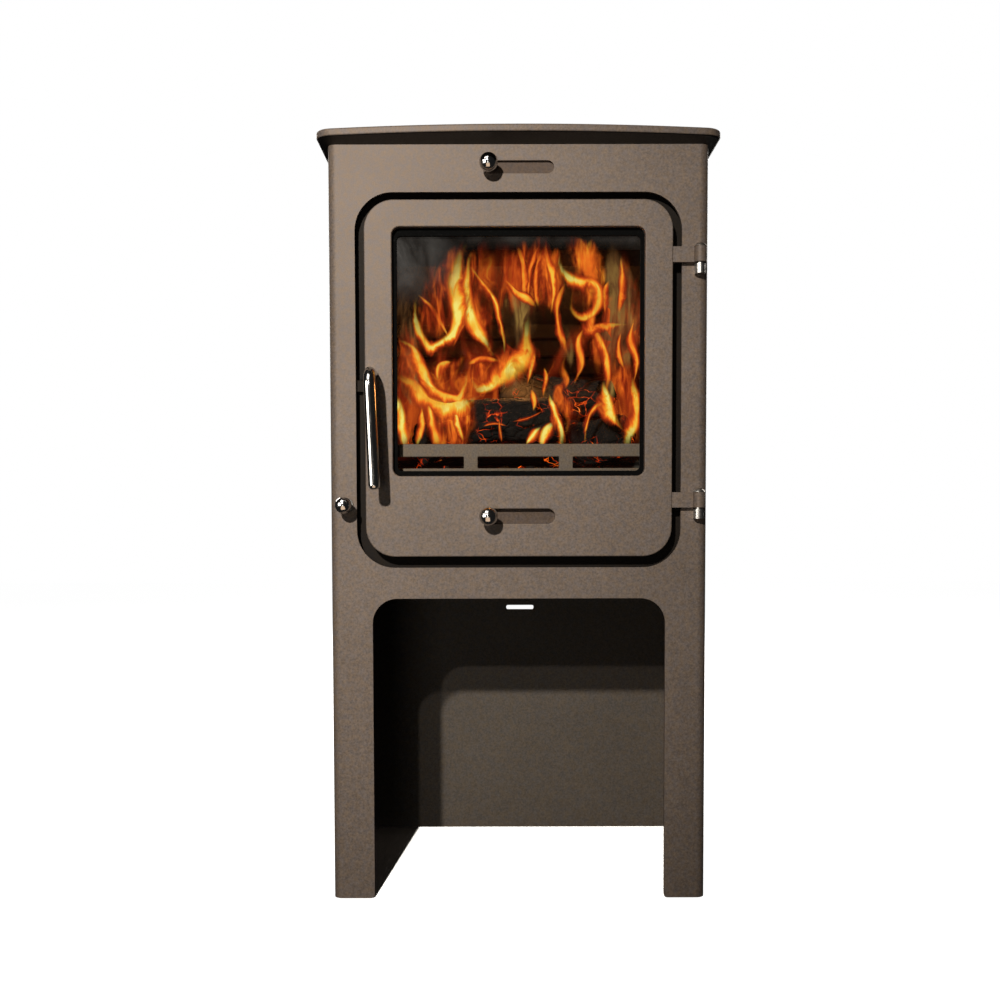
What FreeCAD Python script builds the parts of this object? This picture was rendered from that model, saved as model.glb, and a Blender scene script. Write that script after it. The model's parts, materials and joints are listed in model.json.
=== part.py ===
import FreeCAD, Part
import math
import os
import re
import Sketcher
from FreeCAD import Placement, Rotation, Vector

# A wood burning stove on a log store.  Lengths are millimetres and angles are degrees.
# X runs to the right, Y away from whoever stands in front of the stove, and Z up from the floor.
# Depths below are counted from the outer face of the front panel.

SIZES = {
    # outer casing
    "body_half": 200.0,
    "body_top": 800.0,
    "body_depth": 300.0,
    "front_y": -134.5,
    "panel": 4.0,
    "bend_radius": 9.0,
    "return_depth": 30.0,
    "foot_radius": 4.0,
    "store_half": 156.0,
    "store_top": 324.0,
    "store_radius": 26.5,
    "store_roof": 330.0,
    "inlet_left": -11.6,
    "inlet_right": 24.0,
    "inlet_low": 289.2,
    "inlet_high": 294.8,
    "opening_half": 172.0,
    "opening_low": 357.0,
    "opening_high": 751.0,
    "opening_radius": 40.0,
    # top plate: straight sides, and a front edge that bows forward
    "top_half": 209.0,
    "top_thick": 8.0,
    "top_corner_y": -27.0,
    "top_apex_y": -56.2,
    "top_bow_radius": 1340.0,
    "top_corner_radius": 18.0,
    "top_rear_y": 303.0,
    "top_rear_radius": 8.0,
    "top_edge_round": 2.0,
    # flue
    "flue_y": 205.0,
    "flue_bore": 63.5,
    "flue_wall": 6.0,
    "flue_height": 40.0,
    "flange_radius": 86.0,
    "flange_thick": 6.0,
    "flange_bolt_ring": 78.5,
    "bolt_radius": 3.0,
    "bolt_head": 5.5,
    "bolt_head_high": 4.0,
    "bolt_reach": 6.0,
    "bolt_play": 0.3,
    "outlet_z": 722.0,
    "outlet_radius": 62.5,
    "blank_radius": 70.0,
    "blank_thick": 5.0,
    "clamp_half": 76.0,
    "clamp_width": 12.0,
    "clamp_thick": 5.0,
    "clamp_bolt": 4.0,
    "clamp_head": 6.5,
    # firebox
    "base_top": 386.5,
    "support_top": 440.0,
    "support_thick": 6.0,
    "wall_front": 14.0,
    "wall_half": 137.5,
    "wall_low": 386.5,
    "wall_high": 724.5,
    "wall_radius": 14.0,
    "duct_half": 46.0,
    "duct_low": 766.0,
    "duct_high": 788.0,
    "duct_radius": 4.0,
    "airwash_half": 150.0,
    "airwash_back": 40.0,
    "airwash_sheet": 3.0,
    "airwash_knee": 728.0,
    "airwash_lip_y": 25.0,
    "airwash_lip": 717.0,
    "brick": 25.0,
    "brick_outer": 190.0,
    "brick_front": 24.4,
    "liner_front": 268.0,
    "liner_top": 655.0,
    "baffle_rise": 0.246,
    "baffle_front": 104.0,
    "baffle_thick": 18.0,
    "groove_half": 150.0,
    "groove_high": 6.0,
    "groove_deep": 6.0,
    "guard_half": 188.0,
    "guard_front": 20.0,
    "guard_back": 24.0,
    "guard_top": 489.3,
    "guard_slot_low": 463.2,
    "guard_slot_high": 475.4,
    "guard_slot_outer": 131.0,
    "guard_slot_inner": 58.8,
    "guard_slot_middle": 43.6,
    # grate and its riddling rod
    "grate_y": 146.0,
    "grate_radius": 104.0,
    "grate_hole": 95.0,
    "grate_thick": 10.0,
    "grate_slot_ring": 78.0,
    "grate_slot_pitch": 18.0,
    "grate_slot_half": 4.0,
    "lever_half": 9.0,
    "lever_root_half": 16.0,
    "lever_root_x": 88.0,
    "lever_end_x": 60.0,
    "lever_thick": 4.5,
    "rod_x": -183.6,
    "rod_z": 423.5,
    "rod_radius": 4.0,
    "rod_pin": 3.0,
    "rod_front": -13.0,
    "rod_knob_y": -20.0,
    # ash pan
    "pan_half": 118.0,
    "pan_front": 34.0,
    "pan_back": 262.0,
    "pan_low": 387.0,
    "pan_top": 428.0,
    "pan_wall": 1.5,
    "bail_half": 30.0,
    "bail_reach": 14.0,
    "bail_bar": 4.0,
    "bail_high": 5.0,
    # door
    "door_half": 161.5,
    "door_low": 369.0,
    "door_high": 741.5,
    "door_thick": 8.0,
    "door_radius": 31.0,
    "window_half": 132.6,
    "window_low": 454.0,
    "window_high": 713.5,
    "window_radius": 8.5,
    "sight_half": 128.2,
    "sight_low": 459.6,
    "sight_high": 705.6,
    "glass_half": 136.4,
    "glass_low": 449.6,
    "glass_high": 717.4,
    "tape": 2.0,
    "glass": 4.0,
    "clip_low": 520.0,
    "clip_high": 650.0,
    "clip_across": 70.0,
    "clip_half": 9.0,
    "clip_thick": 1.5,
    "rail_half": 120.0,
    "rail_drop": 8.0,
    "rail_lap": 5.0,
    "seal_outer": 148.5,
    "seal_low": 375.5,
    "seal_high": 735.0,
    "seal_radius": 22.0,
    "seal_rim": 1.5,
    "seal_width": 11.5,
    "seal_depth": 10.0,
    "rope_back": 13.7,
    # hinges
    "hinge_x": 190.0,
    "hinge_y": -7.5,
    "hinge_upper": 676.5,
    "hinge_lower": 420.4,
    "arm_high": 16.0,
    "arm_thick": 6.5,
    "eye_radius": 6.5,
    "pin_radius": 3.2,
    "knuckle_radius": 5.0,
    "knuckle_high": 10.0,
    "knuckle_drop": 11.8,
    # handle and latch
    "handle_x": -153.5,
    "handle_z": 560.0,
    "handle_bar": 6.0,
    "handle_reach": 44.0,
    "handle_drop": 121.0,
    "handle_bend": 15.0,
    "handle_lean": -2.3,
    "spindle": 4.0,
    "cam_front": 10.4,
    "cam_thick": 2.8,
    "cam_reach": 15.5,
    "cam_half": 3.0,
    "cam_boss": 6.0,
    "keeper_outer": 32.5,
    "keeper_inner": 6.5,
    "keeper_step": 20.0,
    "keeper_front": 6.0,
    "keeper_back": 9.8,
    "keeper_drop": 16.0,
    "keeper_high": 11.8,
    # air sliders
    "upper_slot_z": 776.8,
    "upper_slot_half": 6.8,
    "upper_slot_left": -38.0,
    "upper_slot_right": 37.5,
    "upper_knob_x": -31.0,
    "upper_knob_y": -18.0,
    "lower_slot_z": 411.5,
    "lower_slot_half": 7.75,
    "lower_slot_left": -40.0,
    "lower_slot_right": 38.0,
    "lower_knob_x": -32.0,
    "lower_knob_y": -28.0,
    "slider_travel": 60.0,
    "slider_gap": 0.3,
    "slider": 2.5,
    "slider_over": 6.0,
    "slider_lip": 1.5,
    "ball": 9.75,
    "stem": 3.5,
    # heat shield behind the stove
    "shield_gap": 15.0,
    "shield": 1.5,
    "shield_half": 172.0,
    "shield_low": 392.0,
    "shield_high": 795.0,
    "shield_radius": 6.0,
    "shield_notch": 78.0,
    "shield_notch_radius": 60.0,
    "shield_screw_x": 150.0,
    "shield_screw_low": 430.0,
    "shield_screw_high": 640.0,
    "shield_screw_head": 2.5,
    "spacer_radius": 7.0,
    "running": 0.08,
}

doc = FreeCAD.newDocument("stove")
sheet = doc.addObject("Spreadsheet::Sheet", "Sizes")
for row, (alias, size) in enumerate(SIZES.items(), start=1):
    sheet.set(f"A{row}", alias)
    sheet.set(f"B{row}", str(size))
    sheet.setAlias(f"B{row}", alias)
doc.recompute()

nodes = []


def bind(text):
    """The expression with each size's name written as a cell of the sheet."""
    return re.sub(r"[a-z][a-z_]+", lambda word: f"Sizes.{word[0]}" if word[0] in SIZES else word[0], text)


def value(text):
    """What an expression comes to, in millimetres or degrees."""
    return float(sheet.evalExpression(bind(text)))


def keep(piece, x="0", z="0"):
    """Place a finished sub-part behind the front panel's plane and list it for export."""
    piece.setExpression("Placement.Base.x", bind(x))
    piece.setExpression("Placement.Base.y", bind("front_y"))
    piece.setExpression("Placement.Base.z", bind(z))
    nodes.append(piece)
    return piece


# ---------------------------------------------------------------- sketches

PLANES = {"front": "XZ_Plane", "side": "YZ_Plane", "flat": "XY_Plane"}


def new_body(label):
    body = doc.addObject("PartDesign::Body", label)
    body.Label = label
    return body


def new_sketch(body, facing, start="0"):
    """A sketch on one of the body's planes, moved to start along Y, X or Z."""
    plane = next(item for item in body.Origin.OriginFeatures if item.Role == PLANES[facing])
    sketch = body.newObject("Sketcher::SketchObject", f"{body.Label}_outline")
    sketch.AttachmentSupport = [(plane, "")]
    sketch.MapMode = "FlatFace"
    sign = "-1" if facing == "front" else "1"
    sketch.setExpression("AttachmentOffset.Base.z", bind(f"{sign} * ({start})"))
    return sketch


def pin_down(sketch, geometry, end, x, y):
    """Hold a point of the sketch at x, y, both bound to the sheet."""
    for kind, text in (("DistanceX", x), ("DistanceY", y)):
        index = sketch.addConstraint(Sketcher.Constraint(kind, -1, 1, geometry, end, value(text)))
        sketch.setExpression(f"Constraints[{index}]", bind(text))


def draw_circle(sketch, x, y, radius):
    circle = Part.Circle(Vector(value(x), value(y), 0), Vector(0, 0, 1), value(radius))
    geometry = sketch.addGeometry(circle, False)
    pin_down(sketch, geometry, 3, x, y)
    index = sketch.addConstraint(Sketcher.Constraint("Radius", geometry, value(radius)))
    sketch.setExpression(f"Constraints[{index}]", bind(radius))


def draw_outline(sketch, corners):
    """A closed outline of straight runs.  A corner is (x, y) or, where it is rounded, (x, y, radius)."""
    points = [Vector(value(corner[0]), value(corner[1]), 0) for corner in corners]
    count = len(points)
    arrive = []
    leave = []
    arcs = []
    for index, corner in enumerate(corners):
        point = points[index]
        back = (points[index - 1] - point).normalize()
        ahead = (points[(index + 1) % count] - point).normalize()
        if len(corner) == 2:
            arrive.append(point)
            leave.append(point)
            arcs.append(None)
            continue
        radius = value(corner[2])
        half = back.getAngle(ahead) / 2
        arrive.append(point + back * (radius / math.tan(half)))
        leave.append(point + ahead * (radius / math.tan(half)))
        centre = point + (back + ahead).normalize() * (radius / math.sin(half))
        turns_left = back.cross(ahead).z < 0
        first, last = (arrive[-1], leave[-1]) if turns_left else (leave[-1], arrive[-1])
        angles = [math.atan2(end.y - centre.y, end.x - centre.x) for end in (first, last)]
        if angles[1] < angles[0]:
            angles[1] += 2 * math.pi
        arcs.append((Part.ArcOfCircle(Part.Circle(centre, Vector(0, 0, 1), radius), *angles), turns_left))
    lines = []
    for index in range(count):
        run = Part.LineSegment(leave[index], arrive[(index + 1) % count])
        lines.append(sketch.addGeometry(run, False))
    for index, corner in enumerate(corners):
        before = lines[index - 1]
        after = lines[index]
        if arcs[index] is None:
            sketch.addConstraint(Sketcher.Constraint("Coincident", before, 2, after, 1))
            pin_down(sketch, after, 1, corner[0], corner[1])
            continue
        arc, turns_left = arcs[index]
        arc = sketch.addGeometry(arc, False)
        sketch.addConstraint(Sketcher.Constraint("Tangent", before, 2, arc, 1 if turns_left else 2))
        sketch.addConstraint(Sketcher.Constraint("Tangent", after, 1, arc, 2 if turns_left else 1))
        corner_point = sketch.addGeometry(Part.Point(points[index]), True)
        sketch.addConstraint(Sketcher.Constraint("PointOnObject", corner_point, 1, before))
        sketch.addConstraint(Sketcher.Constraint("PointOnObject", corner_point, 1, after))
        pin_down(sketch, corner_point, 1, corner[0], corner[1])
        bound = sketch.addConstraint(Sketcher.Constraint("Radius", arc, value(corner[2])))
        sketch.setExpression(f"Constraints[{bound}]", bind(corner[2]))


def draw(sketch, shapes):
    for shape in shapes:
        if shape[0] == "circle":
            draw_circle(sketch, *shape[1:])
        else:
            draw_outline(sketch, shape)


def rectangle(left, low, right, high, radius=None):
    corners = [(left, low), (right, low), (right, high), (left, high)]
    return corners if radius is None else [(*corner, radius) for corner in corners]


def slot(left, right, middle, half):
    """A slot along X with round ends: its corner radius stays a hair under half its height."""
    return rectangle(left, f"{middle} - ({half})", right, f"{middle} + ({half})", f"({half}) * 0.999")


# ---------------------------------------------------------------- features

def pad(body, facing, shapes, start, length):
    """Add material from start, towards +Y, +X or +Z."""
    sketch = new_sketch(body, facing, start)
    draw(sketch, shapes)
    feature = body.newObject("PartDesign::Pad", f"{body.Label}_pad")
    feature.Profile = sketch
    feature.setExpression("Length", bind(length))
    feature.Reversed = facing == "front"
    doc.recompute()
    return feature


def cut(body, facing, shapes, start, length):
    """Remove material from start, towards +Y, +X or +Z, and make sure that some went."""
    before = body.Shape.Volume
    sketch = new_sketch(body, facing, start)
    draw(sketch, shapes)
    feature = body.newObject("PartDesign::Pocket", f"{body.Label}_pocket")
    feature.Profile = sketch
    feature.setExpression("Length", bind(length))
    feature.Reversed = facing != "front"
    doc.recompute()
    if not body.Shape.Volume < before - 1e-3:
        raise RuntimeError(f"a pocket of {body.Label} cut nothing")
    return feature


def turn(body, shapes):
    """Revolve a profile, drawn in X and Z, about the body's Z axis."""
    sketch = new_sketch(body, "front")
    draw(sketch, shapes)
    feature = body.newObject("PartDesign::Revolution", f"{body.Label}_turned")
    feature.Profile = sketch
    feature.ReferenceAxis = (sketch, ["V_Axis"])
    feature.Angle = 360
    doc.recompute()
    return feature


def soften(body, radius, chosen):
    """Round every edge of the body that chosen(edge) picks."""
    tip = body.Tip
    names = [f"Edge{number}" for number, edge in enumerate(tip.Shape.Edges, start=1) if chosen(edge)]
    feature = body.newObject("PartDesign::Fillet", f"{body.Label}_rounding")
    feature.Base = (tip, names)
    feature.Radius = radius
    doc.recompute()


def lies_at(axis, place):
    """Picks the edges that lie wholly in the plane where axis equals place."""
    low = {"x": "XMin", "y": "YMin", "z": "ZMin"}[axis]
    high = {"x": "XMax", "y": "YMax", "z": "ZMax"}[axis]

    def chosen(edge):
        box = edge.BoundBox
        return abs(getattr(box, low) - place) < 1e-3 and abs(getattr(box, high) - place) < 1e-3

    return chosen


def panel(label, facing, shapes, start, length):
    """A sub-part that is one padded outline."""
    body = new_body(label)
    pad(body, facing, shapes, start, length)
    return keep(body)


# ---------------------------------------------------------------- primitives

AXES = {"x": Vector(1, 0, 0), "y": Vector(0, 1, 0), "z": Vector(0, 0, 1)}


def put(piece, x, y, z):
    for axis, text in (("x", x), ("y", y), ("z", z)):
        piece.setExpression(f"Placement.Base.{axis}", bind(text))
    return piece


def block(name, x, y, z):
    """A box from its (low, high) along each axis."""
    box = doc.addObject("Part::Box", name)
    for side, (low, high) in (("Length", x), ("Width", y), ("Height", z)):
        box.setExpression(side, bind(f"({high}) - ({low})"))
    return put(box, x[0], y[0], z[0])


def round_bar(name, axis, radius, length, x, y, z):
    bar = doc.addObject("Part::Cylinder", name)
    bar.setExpression("Radius", bind(radius))
    bar.setExpression("Height", bind(length))
    bar.Placement = Placement(Vector(), Rotation(Vector(0, 0, 1), AXES[axis]))
    return put(bar, x, y, z)


def ball(name, radius, x, y, z):
    sphere = doc.addObject("Part::Sphere", name)
    sphere.setExpression("Radius", bind(radius))
    return put(sphere, x, y, z)


def fuse(label, pieces):
    joined = doc.addObject("Part::MultiFuse", label)
    joined.Label = label
    joined.Shapes = pieces
    joined.Refine = True
    return joined


def subtract(label, base, tool):
    rest = doc.addObject("Part::Cut", label)
    rest.Label = label
    rest.Base = base
    rest.Tool = tool
    return rest


def group(label, pieces):
    """Identical pieces that share one sub-part as separate solids."""
    together = doc.addObject("Part::Compound", label)
    together.Label = label
    together.Links = pieces
    return keep(together)


# ---------------------------------------------------------------- casing

def make_front_panel():
    body = new_body("front_panel")
    inner = "body_half - panel"
    inner_bend = "bend_radius - panel"
    profile = [
        ("-body_half", "0", "bend_radius"),
        ("body_half", "0", "bend_radius"),
        ("body_half", "return_depth"),
        (inner, "return_depth"),
        (inner, "panel", inner_bend),
        (f"-({inner})", "panel", inner_bend),
        (f"-({inner})", "return_depth"),
        ("-body_half", "return_depth"),
    ]
    pad(body, "flat", [profile], "0", "body_top")
    store = [
        ("-store_half", "-10"),
        ("store_half", "-10"),
        ("store_half", "store_top", "store_radius"),
        ("-store_half", "store_top", "store_radius"),
    ]
    opening = rectangle("-opening_half", "opening_low", "opening_half", "opening_high", "opening_radius")
    air = slot("upper_slot_left", "upper_slot_right", "upper_slot_z", "upper_slot_half")
    rod_hole = ("circle", "rod_x", "rod_z", "rod_radius + 2.5")
    cut(body, "front", [store, opening, air, rod_hole], "-1", "panel + 2")

    def foot_corner(edge):
        box = edge.BoundBox
        across = abs(abs(box.XMin) - value("store_half")) < 1e-3 and box.XLength < 1e-3
        return across and box.ZMax < 1e-3 and box.YLength > 1

    soften(body, value("foot_radius"), foot_corner)
    keep(body)


def make_side_panels():
    outline = rectangle("return_depth", "0", "body_depth - panel", "body_top")
    panel("left_side_panel", "side", [outline], "-body_half", "panel")
    panel("right_side_panel", "side", [outline], "body_half - panel", "panel")


def make_rear_panels():
    back = "body_depth - panel"
    outline = rectangle("-body_half", "base_top", "body_half", "body_top")
    outlet = ("circle", "0", "outlet_z", "outlet_radius")
    panel("rear_panel", "front", [outline, outlet], back, "panel")
    outline = rectangle("-body_half", "0", "body_half", "base_top")
    inlet = rectangle("inlet_left", "inlet_low", "inlet_right", "inlet_high", "2")
    panel("log_store_back", "front", [outline, inlet], back, "panel")


def make_top_plate():
    body = new_body("top_plate")
    outline = [
        ("top_half", "top_corner_y", "top_corner_radius"),
        ("top_half", "top_rear_y", "top_rear_radius"),
        ("-top_half", "top_rear_y", "top_rear_radius"),
        ("-top_half", "top_corner_y", "top_corner_radius"),
        ("0", "top_apex_y", "top_bow_radius"),
    ]
    flue = ("circle", "0", "flue_y", "flue_bore + 2.5")
    pad(body, "flat", [outline, flue], "body_top", "top_thick")

    def rim(edge):
        box = edge.BoundBox
        level = box.ZLength < 1e-3
        around_flue = box.XLength < 140 and abs(box.Center.y - value("flue_y")) < 1
        return level and not around_flue

    soften(body, value("top_edge_round"), rim)
    keep(body)


def make_floors():
    inside = "body_half - panel"
    back = "body_depth - panel"
    bend = "bend_radius - panel + 1"
    outline = [
        (f"-({inside})", "panel", bend),
        (inside, "panel", bend),
        (inside, back),
        (f"-({inside})", back),
    ]
    panel("log_store_roof", "flat", [outline], "store_roof - 3", "3")
    outline = rectangle(f"-({inside})", "wall_front + panel", inside, back)
    panel("firebox_base", "flat", [outline], "base_top - panel", "panel")
    hole = ("circle", "0", "grate_y", "grate_hole")
    panel("grate_support", "flat", [outline, hole], "support_top - support_thick", "support_thick")


def make_firebox_front():
    inside = "body_half - panel"
    outline = rectangle(f"-({inside})", "store_roof", inside, "body_top")
    opening = rectangle("-wall_half", "wall_low", "wall_half", "wall_high", "wall_radius")
    rod_hole = ("circle", "rod_x", "rod_z", "rod_radius + 1")
    air = rectangle("-duct_half", "duct_low", "duct_half", "duct_high", "duct_radius")
    panel("firebox_front", "front", [outline, opening, rod_hole, air], "wall_front", "panel")


# ---------------------------------------------------------------- flue and rear

def make_flue_collar():
    outer = "flue_bore + flue_wall"
    tube = new_body("flue_collar")
    turn(tube, [rectangle("flue_bore", "0", outer, "flue_height")])
    soften(tube, 1.0, lies_at("z", value("flue_height")))
    flange = new_body("flue_flange")
    turn(flange, [rectangle(f"{outer} + 0.1", "0", "flange_radius", "flange_thick")])
    for x, y in flange_bolts():
        cut(flange, "flat", [("circle", x, y, "bolt_radius + bolt_play")], "-1", "flange_thick + 2")
    soften(flange, 1.0, lies_at("z", value("flange_thick")))
    for piece in (tube, flange):
        keep(piece, z="body_top + top_thick")
        piece.setExpression("Placement.Base.y", bind("front_y + flue_y"))


def flange_bolts():
    """Where the flange's four bolts stand, from the middle of the flue."""
    spots = []
    for count in range(4):
        angle = math.radians(45 + 90 * count)
        spots.append([f"flange_bolt_ring * {share:.6f}" for share in (math.cos(angle), math.sin(angle))])
    return spots


def make_flue_bolts():
    seat = "body_top + top_thick + flange_thick"
    bolts = []
    for count, (x, y) in enumerate(flange_bolts(), start=1):
        name = f"flue_bolt_{count}"
        deep = f"{seat} - bolt_reach"
        long = "bolt_reach + bolt_head_high"
        shank = round_bar(f"{name}_shank", "z", "bolt_radius", long, x, f"flue_y + {y}", deep)
        head = round_bar(f"{name}_head", "z", "bolt_head", "bolt_head_high", x, f"flue_y + {y}", seat)
        bolts.append(fuse(name, [shank, head]))
    group("flue_collar_bolts", bolts)


def make_rear_outlet():
    body = new_body("rear_blanking_plate")
    pad(body, "front", [("circle", "0", "outlet_z", "blank_radius")], "body_depth", "blank_thick")
    hole = ("circle", "0", "outlet_z", "clamp_bolt + 0.1")
    cut(body, "front", [hole], "body_depth - 1", "blank_thick + 2")
    soften(body, 1.5, lies_at("y", value("body_depth + blank_thick")))
    keep(body)
    bar = new_body("blanking_clamp_bar")
    outline = rectangle("-clamp_half", "outlet_z - clamp_width", "clamp_half", "outlet_z + clamp_width", "5")
    bar_front = "body_depth - panel - clamp_thick"
    pad(bar, "front", [outline, hole], bar_front, "clamp_thick")
    keep(bar)
    plate_back = "body_depth + blank_thick"
    long = f"{plate_back} - ({bar_front})"
    shank = round_bar("clamp_shank", "y", "clamp_bolt", long, "0", bar_front, "outlet_z")
    head = round_bar("clamp_head", "y", "clamp_head", "clamp_thick", "0", plate_back, "outlet_z")
    nut_front = f"{bar_front} - clamp_thick"
    nut = round_bar("clamp_nut", "y", "clamp_head", "clamp_thick", "0", nut_front, "outlet_z")
    keep(fuse("blanking_bolt", [shank, head, nut]))


def shield_corners():
    heights = ("shield_screw_low", "shield_screw_high")
    return [(x, z) for x in ("-shield_screw_x", "shield_screw_x") for z in heights]


def make_heat_shield():
    front = "body_depth + shield_gap"
    outline = [
        ("-shield_half", "shield_low", "shield_radius"),
        ("shield_half", "shield_low", "shield_radius"),
        ("shield_half", "shield_high", "shield_radius"),
        ("shield_notch", "shield_high"),
        ("shield_notch", "outlet_z - shield_notch", "shield_notch_radius"),
        ("-shield_notch", "outlet_z - shield_notch", "shield_notch_radius"),
        ("-shield_notch", "shield_high"),
        ("-shield_half", "shield_high", "shield_radius"),
    ]
    holes = [("circle", x, z, "bolt_radius + bolt_play") for x, z in shield_corners()]
    panel("rear_heat_shield", "front", [outline, *holes], front, "shield")
    spacers = []
    screws = []
    for count, (x, z) in enumerate(shield_corners(), start=1):
        tube = round_bar(f"spacer_{count}_tube", "y", "spacer_radius", "shield_gap", x, "body_depth", z)
        hole = "bolt_radius + bolt_play"
        bore = round_bar(f"spacer_{count}_bore", "y", hole, "shield_gap + 2", x, "body_depth - 1", z)
        spacers.append(subtract(f"spacer_{count}", tube, bore))
        name = f"shield_screw_{count}"
        long = "shield_gap + shield + shield_screw_head"
        shank = round_bar(f"{name}_shank", "y", "bolt_radius", long, x, "body_depth", z)
        head = round_bar(f"{name}_head", "y", "bolt_head", "shield_screw_head", x, f"{front} + shield", z)
        screws.append(fuse(name, [shank, head]))
    group("heat_shield_spacers", spacers)
    group("heat_shield_screws", screws)


# ---------------------------------------------------------------- firebox lining

def baffle_line(y):
    """Height of the sloping top of the bricks at depth y."""
    return f"liner_top + (liner_front - ({y})) * baffle_rise"


def make_lining():
    side = [
        ("brick_front", "support_top"),
        ("liner_front - 0.3", "support_top"),
        ("liner_front - 0.3", baffle_line("liner_front - 0.3")),
        ("brick_front", baffle_line("brick_front")),
    ]
    for label, start in (("left_firebrick", "-brick_outer"), ("right_firebrick", "brick_outer - brick")):
        body = new_body(label)
        pad(body, "side", [side], start, "brick")
        soften(body, 1.5, lambda edge: edge.Length > 100)
        keep(body)
    make_rear_liner()
    body = new_body("baffle_plate")
    lower_front = baffle_line("baffle_front")
    outline = [
        ("baffle_front", lower_front),
        ("liner_front - 0.3", baffle_line("liner_front - 0.3")),
        ("liner_front - 0.3", f"{baffle_line('liner_front - 0.3')} + baffle_thick"),
        ("baffle_front", f"{lower_front} + baffle_thick"),
    ]
    pad(body, "side", [outline], "-(brick_outer - 1)", "2 * (brick_outer - 1)")
    keep(body)


COURSES = 5


def make_rear_liner():
    """The rear liner: a thick board with level grooves that part its face into courses."""
    body = new_body("rear_firebrick")
    outline = rectangle("-brick_outer", "support_top", "brick_outer", "liner_top")
    pad(body, "front", [outline], "liner_front", "brick")
    grooves = []
    for count in range(1, COURSES):
        low = f"support_top + (liner_top - support_top) * {count / COURSES} - groove_high / 2"
        grooves.append(rectangle("-groove_half", low, "groove_half", f"{low} + groove_high", "2.5"))
    cut(body, "front", grooves, "liner_front - 1", "groove_deep + 1")
    keep(body)


def make_airwash_duct():
    body = new_body("airwash_duct")
    back = "airwash_back + airwash_sheet"
    profile = [
        ("airwash_back", "body_top"),
        ("airwash_back", "airwash_knee"),
        ("airwash_lip_y", "airwash_lip"),
        ("airwash_lip_y", "airwash_lip - airwash_sheet * 1.23"),
        (back, "airwash_knee - airwash_sheet / 2"),
        (back, "body_top"),
    ]
    pad(body, "side", [profile], "-airwash_half", "2 * airwash_half")
    keep(body)


def make_log_guard():
    body = new_body("log_guard")
    outline = rectangle("-guard_half", "support_top", "guard_half", "guard_top")
    pad(body, "front", [outline], "guard_front", "guard_back - guard_front")
    ends = (
        ("-guard_slot_outer", "-guard_slot_inner"),
        ("-guard_slot_middle", "guard_slot_middle"),
        ("guard_slot_inner", "guard_slot_outer"),
    )
    slots = [rectangle(left, "guard_slot_low", right, "guard_slot_high", "1") for left, right in ends]
    cut(body, "front", slots, "guard_front - 1", "guard_back - guard_front + 2")
    soften(body, 1.0, lies_at("y", value("guard_front")))
    keep(body)


# ---------------------------------------------------------------- grate, rod and ash pan

def make_grate():
    body = new_body("riddling_grate")
    disc = [("circle", "0", "grate_y", "grate_radius")]
    pad(body, "flat", disc, "support_top + 0.2", "grate_thick")
    boss = [("circle", "0", "grate_y", "grate_hole - 2")]
    pad(body, "flat", boss, "support_top - support_thick - 0.3", "support_thick + 1")
    bars = []
    for count in range(-4, 5):
        middle = f"grate_y + grate_slot_pitch * {count}"
        reach = f"sqrt(grate_slot_ring ^ 2 - (grate_slot_pitch * {count}) ^ 2)"
        bars.append(slot(f"-{reach}", reach, middle, "grate_slot_half"))
    cut(body, "flat", bars, "support_top - support_thick - 2", "30")
    keep(body)


def make_riddling_arm():
    """The lever under the grate; its slotted end holds the rod's pin."""
    body = new_body("riddling_arm")
    top = "support_top - support_thick - 0.3"
    outline = [
        ("rod_x - 8", "grate_y - lever_half", "4"),
        ("rod_x + 14", "grate_y - lever_half"),
        ("-lever_root_x", "grate_y - lever_root_half"),
        ("-lever_end_x", "grate_y - lever_root_half"),
        ("-lever_end_x", "grate_y + lever_root_half"),
        ("-lever_root_x", "grate_y + lever_root_half"),
        ("rod_x + 14", "grate_y + lever_half"),
        ("rod_x - 8", "grate_y + lever_half", "4"),
    ]
    pad(body, "flat", [outline], f"{top} - lever_thick", "lever_thick")
    eye = slot("rod_x - 5.9", "rod_x + 4.6", "grate_y", "rod_pin + 0.35")
    cut(body, "flat", [eye], f"{top} - 6", "8")
    keep(body)


def make_riddling_rod():
    long = "grate_y + 7 - rod_front"
    shaft = round_bar("rod_shaft", "y", "rod_radius", long, "rod_x", "rod_front", "rod_z")
    pin_long = "support_top - support_thick - 0.5 - rod_z"
    pin = round_bar("rod_drive_pin", "z", "rod_pin", pin_long, "rod_x", "grate_y", "rod_z")
    keep(fuse("riddling_rod", [shaft, pin]))
    knob = ball("riddling_ball", "ball - 1", "rod_x", "rod_knob_y", "rod_z")
    seat = round_bar("riddling_seat", "y", "rod_radius", "30", "rod_x", "rod_front", "rod_z")
    keep(subtract("riddling_knob", knob, seat))
    body = new_body("riddling_bush")
    turn(body, [[
        ("rod_radius + running", "-panel"),
        ("rod_radius + 2.4", "-panel"),
        ("rod_radius + 2.4", "0"),
        ("rod_radius + 4", "0"),
        ("rod_radius + 4", "1.5", "0.6"),
        ("rod_radius + running", "1.5"),
    ]])
    keep(body, x="rod_x", z="rod_z")
    body.Placement.Rotation = Rotation(Vector(1, 0, 0), 90)


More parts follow.
